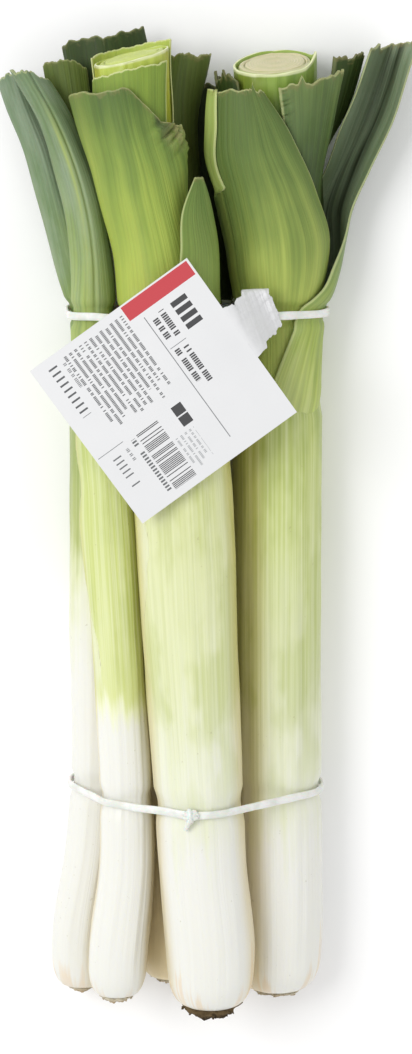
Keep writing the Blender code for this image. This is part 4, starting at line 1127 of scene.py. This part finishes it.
# Print on the card: centre S and T, half S and T, row pitch and share, stroke and share, gaps, ragged, ink
ONE_ROW = (80, 1.0)
FILLED = (*ONE_ROW, 400, 1.0, -1, 0)
DARK_INK = (38, 38, 40)
SOFT_INK = (120, 122, 124)
PRINT = (
    ("band", (19.0, 30.5, 14.2, 2.9, *FILLED), (190, 38, 50)),
    ("bold strokes", (23.0, 19.3, 3.2, 6.2, *ONE_ROW, 3.1, 0.66, -1, 0), DARK_INK),
    ("long rule", (9.6, -0.6, 0.17, 26.4, *FILLED), SOFT_INK),
    ("short rows", (14.6, 19.0, 3.3, 5.4, 3.4, 0.66, 0.85, 0.72, 0.16, 1.5), DARK_INK),
    ("second rows", (14.6, 1.6, 3.3, 8.4, 3.4, 0.62, 0.85, 0.72, 0.14, 5.0), DARK_INK),
    ("short line", (14.0, 11.2, 3.4, 0.13, *FILLED), SOFT_INK),
    ("close rows", (-8.4, 14.6, 13.2, 16.4, 2.2, 0.5, 0.55, 0.7, 0.2, 7.0), (84, 86, 88)),
    ("large row", (-26.9, 20.4, 1.75, 11.0, *ONE_ROW, 2.3, 0.30, -1, 0), (70, 72, 74)),
    ("small row", (-22.6, 24.0, 0.6, 5.2, *ONE_ROW, 0.6, 0.6, 0.2, 0), SOFT_INK),
    ("narrow bars", (-12.6, -18.8, 4.6, 12.2, *ONE_ROW, 0.62, 0.55, 0.24, 0), DARK_INK),
    ("bar figures", (-19.0, -18.6, 0.9, 11.4, *ONE_ROW, 1.25, 0.55, 0.05, 0), (90, 92, 94)),
    ("dark squares", (0.4, -10.0, 2.1, 4.3, *ONE_ROW, 4.5, 0.88, -1, 0), DARK_INK),
    ("faint rows", (-2.8, -23.0, 3.9, 7.0, 1.9, 0.45, 0.5, 0.7, 0.25, 5.0), (160, 162, 164)),
    ("side rule", (-27.6, -5.7, 5.4, 0.13, *FILLED), SOFT_INK),
    ("tall strokes", (-27.4, -15.4, 1.7, 6.4, *ONE_ROW, 1.9, 0.28, 0.1, 0), (96, 98, 100)),
    ("small strokes", (-22.6, -11.2, 0.6, 2.6, *ONE_ROW, 0.6, 0.6, 0.2, 0), SOFT_INK),
)


def card_finish():
    """Matt white card with a faint fibre, and the generic print."""
    made, tree = new_finish("Card white", Specular_IOR_Level=0.35)
    place = object_place(tree)
    fibre = noise(place, 2600.0, 3.0)
    cloud = noise(place, 40.0, 3.0)
    colour = mix(cloud, (216, 217, 218), (224, 224, 225))
    where = field(tree, "print_place", "Vector")
    block = printed_block()
    for label, numbers, ink in PRINT:
        stamped = put("ShaderNodeGroup", (where, *numbers), node_tree=block)
        stamped.label = label
        colour = mix(times(stamped.outputs[0], 0.94), colour, ink)
    rough = scaled(fibre, 0.15, 0.42)
    return finish_with(made, colour, rough, fibre, 0.00012, 0.3)


def floor_finish():
    """A plain pale studio surface with a barely visible drift of tone."""
    made, tree = new_finish("Pale floor", Specular_IOR_Level=0.2)
    place = object_place(tree)
    cloud = noise(place, 3.0, 2.0)
    colour = mix(cloud, (248, 248, 248), (252, 252, 252))
    rough = scaled(cloud, 0.1, 0.7)
    return finish_with(made, colour, rough, cloud, 0.0001, 0.1)


# Colours along each leek: (y in millimetres, colour)

# Tones that several pieces share, as screen values
WHITE = (228, 228, 221)
FOOT = (226, 214, 194)
CREAM = (225, 227, 205)

SKINS = {
    "a": [(-184, FOOT), (-175, WHITE), (-60, WHITE), (-32, CREAM), (-18, (212, 217, 172)),
          (-6, (170, 181, 104)), (20, (152, 167, 86)), (50, (150, 167, 86)),
          (85, (128, 149, 86)), (120, (112, 135, 96)), (165, (96, 119, 86))],
    "b": [(-184, FOOT), (-175, WHITE), (-73, WHITE), (-66, (228, 231, 196)), (-60, (209, 216, 146)),
          (-20, (201, 210, 128)), (20, (194, 205, 118)), (60, (174, 189, 98)),
          (100, (136, 156, 92)), (135, (120, 141, 100)), (170, (102, 124, 88))],
    "c": [(-184, FOOT), (-175, WHITE), (-120, WHITE), (-80, (223, 226, 200)), (-40, (214, 219, 172)),
          (10, (211, 216, 162)), (40, (206, 212, 146)), (85, (180, 192, 92)),
          (110, (164, 180, 82)), (135, (134, 154, 70)), (158, (104, 127, 58)),
          (175, (90, 113, 52))],
    "d": [(-184, FOOT), (-175, WHITE), (-125, WHITE), (-92, (221, 224, 198)), (-65, (209, 214, 174)),
          (-10, (199, 208, 140)), (30, (186, 198, 112)), (60, (166, 182, 92)),
          (84, (142, 162, 84)), (110, (120, 142, 88)), (150, (112, 131, 97)),
          (185, (118, 135, 107))],
    # E lies under and behind the others: its own greens, darkened towards the top with painted shade.
    "e": [(-185, (236, 230, 212)), (-60, (230, 226, 196)), (60, (166, 172, 98)),
          (130, (66, 82, 34)), (185, (50, 66, 26))],
}
SHEATH_C = SKINS["c"][:6] + [(85, (172, 186, 84)), (112, (152, 170, 76)), (135, (122, 144, 66)),
                            (158, (92, 115, 54)), (175, (78, 100, 48))]
SHEATH_D = SKINS["d"][:4] + [(20, (202, 211, 146)), (48, (188, 200, 118)), (68, (164, 181, 94))] \
    + SKINS["d"][7:]
FRONT_D = [(50, (176, 187, 98)), (92, (164, 178, 90)), (112, (138, 155, 78)),
           (132, (112, 132, 67)), (150, (95, 116, 59)), (166, (90, 110, 57))]
MIDDLE_C = [(140, (104, 126, 50)), (168, (128, 151, 62))]
ROLL_C = [(150, (176, 192, 74)), (185, (192, 205, 92))]
ROLL_D = [(140, (112, 142, 56)), (185, (146, 172, 76))]
POINT_C = [(50, (156, 174, 88)), (95, (132, 153, 76)), (132, (98, 122, 58))]
# Leaves behind and between the leeks: greens darkened with painted shade, OLIVE less so towards its cut end.
PAINTED_SHADE_BACK = [(100, (42, 52, 16)), (150, (50, 66, 24)), (185, (52, 70, 26))]
OLIVE = [(100, (52, 60, 18)), (140, (78, 90, 34)), (178, (96, 112, 52))]
RIGHT_D = [(105, (42, 56, 18)), (132, (62, 82, 34)), (150, (82, 104, 50)), (168, (104, 124, 68))]


# Torn sheath edges on the shafts: rows of (y, degrees, how proud it stands), and the side that is raised
EDGES = {
    "b": ((((-62, 126, 0.2), (-41, 138, 0.4), (-27, 164, 0.6), (-10, 180, 1.3), (4, 183, 1.8),
            (16, 170, 0.5), (31, 182, 1.8), (47, 178, 0.8)), -1),),
    "c": ((((-56, 158, 0.2), (-34, 153, 0.7), (-20, 143, 0.8), (0, 136, 0.8), (12, 142, 0.7),
            (30, 156, 0.2)), -1),),
}

# Each shaft: how far streaks shift its colours along it, how pale its veins are, and where its white ends
SHAFT_TONES = {"a": (20, 0.2, -40), "b": (14, 0.34, -75), "c": (34, 0.16, -110), "d": (34, 0.24, -105),
               "e": (24, 0.1, -80)}

# The sides of each shaft that face a neighbour closely, which get a warm painted shade: (middle degrees,
# reach in degrees)
PAINTED_GAP_SHADE = {
    "a": ((10, 50),),
    "b": ((-40, 55), (215, 30)),
    "c": ((205, 40), (-25, 40)),
    "d": ((160, 35),),
    "e": ((90, 180),),
}

# Leeks: shaft, inset, cut y, cut slopes and flare, root plate's size and depth, root stubs, horns
LEEKS = {
    "a": (SHAFT_A, ((44, 0), (62, 2.2), (134, 2.2)), 120, (0, 0, 0), 7.0, 2.2, 14, 1.6),
    "b": (SHAFT_B, ((46, 0), (64, 2.2), (140, 2.2)), 118, (0, 0, 0), 6.9, 2.4, 22, 2.0),
    "c": (SHAFT_C, ((47, 0), (66, 3.2), (100, 3.2), (150, 1.9), (173, 1.2)), 173, (0.16, 0.24, 0),
          11.0, 4.6, 70, 4.2),
    "d": (SHAFT_D, ((41, 0), (60, 3.4), (100, 3.4), (160, 0.4), (172, 0.2)), 171, (0.31, 0.08, 3.4),
          10.2, 2.4, 30, 1.8),
    "e": (SHAFT_E, ((92, 0), (100, 1.8), (150, 1.8)), 149, (0, 0, 0), 7.2, 2.2, 12, 1.4),
}

# The dark leaf's foot, which runs on down behind the others, as a first row of its table
FOOT_D_DARK = (116, 27.5, 10, 15.4, 10.4, 1.95, 24, 24, 16)

# Leaves: name, table, cut (level, slant, bow, torn corner), torn depth, wave seed, slot, extra detail
LEAVES = (
    ("leek_a_leaf_outer", LEAF_A_OUTER, (166.5, -2.5, -1.0, 0), 0.5, 1.0, "leaf_blue",
     {"sunk": 0.8, "creases": ((0.0, 0.06, 70, 0.5),)}),
    ("leek_b_leaf_outer", LEAF_B_OUTER, (167.5, 2.0, -1.5, 0), 0.5, 2.0, "leaf_blue",
     {"sunk": 0.8, "creases": ((-0.15, 0.06, 70, 0.6), (0.4, 0.08, 80, 0.3))}),
    ("leek_b_leaf_back", LEAF_B_BACK, (172.0, 0.5, -3.0, 0), 0.25, 3.0, "leaf_dark", {}),
    ("leek_c_leaf_outer", LEAF_C_OUTER, (161.5, -2.6, -0.8, 14), 0.45, 4.0, "leaf_light",
     {"sunk": 0.8, "ruffles": ((-0.62, 147, 0.22, 6, 2.2), (-0.9, 142, 0.1, 4, 1.2))}),
    ("leek_c_leaf_middle", LEAF_C_MIDDLE, (168.0, -3.6, 0, 0), 0.2, 15.0, "leaf_mid", {}),
    ("leek_c_leaf_inner", LEAF_C_INNER, (177.0, 3.4, -1.2, 0), 0.15, 5.0, "leaf_mid", {}),
    ("leek_c_leaf_point", LEAF_C_POINT, (130.5, 0, 0, 0), 0.0, 6.0, "leaf_mid", {}),
    ("leek_d_leaf_outer", LEAF_D_OUTER, (177.5, 2.0, 0, 0), 0.5, 7.0, "leaf_blue",
     {"sunk": 0.8, "spikes": ((-0.5, 0.08, 1.4), (0.7, 0.06, 1.6))}),
    ("leek_d_leaf_front", LEAF_D_FRONT, (161.0, 0, 0, 0), 0.5, 8.0, "leaf_mid",
     {"fold": (1, 0.68, 121, 172, 1.9), "spikes": ((-0.45, 0.12, 4.0),)}),
    ("leek_d_leaf_right", LEAF_D_RIGHT, (166.0, -3.6, -0.8, 0), 0.5, 9.0, "leaf_mid",
     {"spikes": ((0.55, 0.06, 3.0), (-0.7, 0.06, 1.2)), "ruffles": ((0.9, 155, 0.12, 6, 1.2),)}),
    ("leek_d_leaf_dark", (FOOT_D_DARK, *LEAF_D_DARK), (173.5, -1.0, 0, 0), 0.6, 10.0, "leaf_dark", {}),
    ("leek_d_leaf_left", LEAF_D_LEFT, (165.0, 0, 0, 0), 1.2, 11.0, "leaf_dark",
     {"spikes": ((-0.5, 0.1, 3.5), (0.0, 0.08, 2.5), (0.5, 0.1, 3.0))}),
    ("leek_e_leaf_back", LEAF_E_BACK, (180.5, -3.0, 0, 0), 0.5, 12.0, "leaf_dark", {}),
    ("leek_e_leaf_right", LEAF_E_RIGHT, (174.0, 0, 0, 0), 0.5, 13.0, "leaf_dark", {}),
    ("leek_e_leaf_low", LEAF_E_LOW, (163.0, 1.0, 0, 0), 0.6, 14.0, "leaf_dark", {}),
)


def leaf_finishes():
    """A finish for each leaf by its node's name."""
    blue = ((98, 122, 84), 0.75)
    # Inner-face tones of the darker leaves and of those deep in the gaps, darkened with painted shade.
    dark = ((66, 84, 36), 0.5)
    deepest_shade = ((34, 44, 16), 0.75)
    roll = ((164, 182, 84), 0.6)
    yellow = (164, 178, 84)
    return {
        "leek_a_leaf_outer": leaf_skin("Leaf A blue green", SKINS["a"], 18, blue, bloom=0.4, rim=0.4,
                                       dry=0.0),
        "leek_b_leaf_outer": leaf_skin("Leaf B blue green", SKINS["b"], 18, blue, bloom=0.4, rim=0.4,
                                       dry=0.0, streaks=((-0.02, 0.24, (4, 30, 0, 0.9), yellow),)),
        "leek_b_leaf_back": leaf_skin("Leaf B back", OLIVE, 14, dark, rim=0.3, dry=0.2),
        "leek_c_leaf_outer": leaf_skin("Leaf C sheath", SHEATH_C, 24, ((96, 120, 58), 0.6), contrast=0.16,
                                       rim=0.35,
                                       streaks=((0.75, 0.5, (0, 30, 0.2, 0.6), (180, 193, 86)),
                                                (-0.74, 0.34, (12, 0, 0, 1.3), (186, 184, 120)),
                                                (-0.5, 0.3, (9, 1, 0, 0.9), (66, 86, 46)))),
        "leek_c_leaf_middle": leaf_skin("Leaf C middle", MIDDLE_C, 12, roll, contrast=0.2, rim=0.85, dry=0.0),
        "leek_c_leaf_inner": leaf_skin("Leaf C inner", ROLL_C, 12, roll, contrast=0.14, rim=0.85, dry=0.0),
        "leek_c_leaf_point": leaf_skin("Leaf C pointed", POINT_C, 16, dark, rim=0.5, edge_width=0.9,
                                       contrast=0.2),
        # Leaf D's dark band along its fold is painted shade in the valley.
        "leek_d_leaf_outer": leaf_skin("Leaf D blue green", SHEATH_D, 26, ((124, 140, 108), 0.75),
                                       bloom=0.35, rim=0.45, edge_width=0.9,
                                       streaks=((0.16, 0.5, (60, 88, 1.2, 0), (26, 34, 13)),)),
        "leek_d_leaf_front": leaf_skin("Leaf D front", FRONT_D, 26, ((134, 156, 84), 0.7),
                                       contrast=0.2, rim=0.6),
        "leek_d_leaf_right": leaf_skin("Leaf D right", RIGHT_D, 16, ((104, 124, 62), 0.5), rim=0.5,
                                       edge_width=0.9, contrast=0.3, bloom=0.08),
        "leek_d_leaf_dark": leaf_skin("Leaf D dark", PAINTED_SHADE_BACK, 14, deepest_shade, rim=0.2),
        "leek_d_leaf_left": leaf_skin("Leaf D left", PAINTED_SHADE_BACK, 14, deepest_shade, rim=0.2),
        "leek_e_leaf_back": leaf_skin("Leaf E back", PAINTED_SHADE_BACK, 14, dark, rim=0.25, dry=0.2),
        "leek_e_leaf_right": leaf_skin("Leaf E right", OLIVE, 14, dark, rim=0.35),
        "leek_e_leaf_low": leaf_skin("Leaf E low", PAINTED_SHADE_BACK, 14, deepest_shade, rim=0.2),
    }


def shaft_finishes():
    """A finish for each shaft by its leek's letter. The rolls' cut faces differ."""
    plain = ((206, 212, 150), (150, 172, 84))
    cuts = {"c": ((196, 208, 112), (178, 194, 80)), "d": ((216, 204, 168), (142, 166, 70))}
    tops = {"c": ROLL_C, "d": ROLL_D}
    made = {}
    for letter, stops in SKINS.items():
        if letter in tops:
            stops = [stop for stop in stops if stop[0] < 120] + tops[letter]
        cut, rim = cuts.get(letter, plain)
        made[letter] = shaft_skin("Shaft " + letter.upper(), stops, cut, rim, *SHAFT_TONES[letter])
    return made


def dress_leeks():
    """All shafts, root plates and leaves."""
    shafts = shaft_finishes()
    dark_root = root_finish("Root plate dark", (112, 94, 66), (56, 46, 33))
    pale_root = root_finish("Root plate pale", (226, 218, 196), (184, 158, 118))
    for seed, (letter, leek) in enumerate(LEEKS.items(), 1):
        rows, inset, cut_y, slopes, plate, depth, stubs, horns = leek
        leek_shaft(f"leek_{letter}_shaft", shafts[letter], rows, inset, cut_y, slopes,
                   EDGES.get(letter, ()), PAINTED_GAP_SHADE[letter], seed)
        finish = dark_root if letter == "c" else pale_root
        root_plate(f"leek_{letter}_root_plate", finish, rows, plate, depth, seed, stubs, horns)
    finishes = leaf_finishes()
    for name, rows, cut, ragged, seed, slot, extras in LEAVES:
        leaf(name, finishes[name], rows, cut, ragged, seed, slot, **extras)


def dress_ties_and_tag():
    """Both ties, the knot and the card tag, along the routes that the leeks give."""
    shafts = ((SHAFT_A, INSET_A), (SHAFT_B, INSET_B), (SHAFT_C, INSET_C), (SHAFT_D, INSET_D),
              (SHAFT_E, INSET_E))
    elastic = elastic_finish()
    lower = tie_route(TIE_LOWER_Y, shafts, ())
    points, faces = joined([band(lower, TIE_LOWER_Y), *knot(lower, TIE_LOWER_Y)])
    new_piece("tie_lower_band", points, faces, elastic, "tie_lower", "elastic")
    upper = tie_route(TIE_UPPER_Y, shafts, [leaf_row[1] for leaf_row in LEAVES])
    new_piece("tie_upper_band", *band(upper, TIE_UPPER_Y), elastic, "tie_upper", "elastic")
    tag(card_finish(), upper)


# Camera, floor and light

def set_camera():
    """The photograph's view: nearly straight down, from a little beyond the cut tops."""
    lens = bpy.data.cameras.new("View")
    lens.sensor_fit = "VERTICAL"
    lens.sensor_height = SENSOR
    lens.lens = FOCAL_PIXELS * SENSOR / PICTURE_HEIGHT
    lens.clip_start = 0.05
    camera = bpy.data.objects.new("View", lens)
    camera.location = CAMERA_PLACE
    camera.rotation_euler = (CAMERA_TILT, 0, 0)
    bpy.context.scene.collection.objects.link(camera)
    bpy.context.scene.camera = camera


def set_floor():
    """One square face at the height of 0, under the bunch and far beyond the view."""
    corners = [(x * FLOOR_REACH, y * FLOOR_REACH, 0) for x, y in ((-1, -1), (1, -1), (1, 1), (-1, 1))]
    mesh = bpy.data.meshes.new("Floor")
    mesh.from_pydata(corners, [], [(0, 1, 2, 3)])
    mesh.materials.append(floor_finish())
    floor = bpy.data.objects.new("Floor", mesh)
    bpy.context.scene.collection.objects.link(floor)


def soft_light(name, place, size, watts):
    """A square area light at a place, turned to face the bunch."""
    lamp = bpy.data.lights.new(name, "AREA")
    lamp.size = size
    lamp.energy = watts
    made = bpy.data.objects.new(name, lamp)
    made.location = place
    away = np.array(place) - LIGHT_AIM
    turn = math.atan2(away[0], -away[1])
    made.rotation_euler = (math.acos(away[2] / np.linalg.norm(away)), 0, turn)
    bpy.context.scene.collection.objects.link(made)


def set_light():
    """White light from all round, and the two lamps."""
    world = bpy.data.worlds.new("Studio")
    world.use_nodes = True
    sky = world.node_tree.nodes["Background"].inputs
    sky[0].default_value = (1.0, 1.0, 1.0, 1.0)
    sky[1].default_value = AMBIENT
    bpy.context.scene.world = world
    bpy.context.scene.view_settings.view_transform = "Standard"
    for lamp in LIGHTS:
        soft_light(*lamp)


dress_leeks()
dress_ties_and_tag()
set_camera()
set_floor()
set_light()
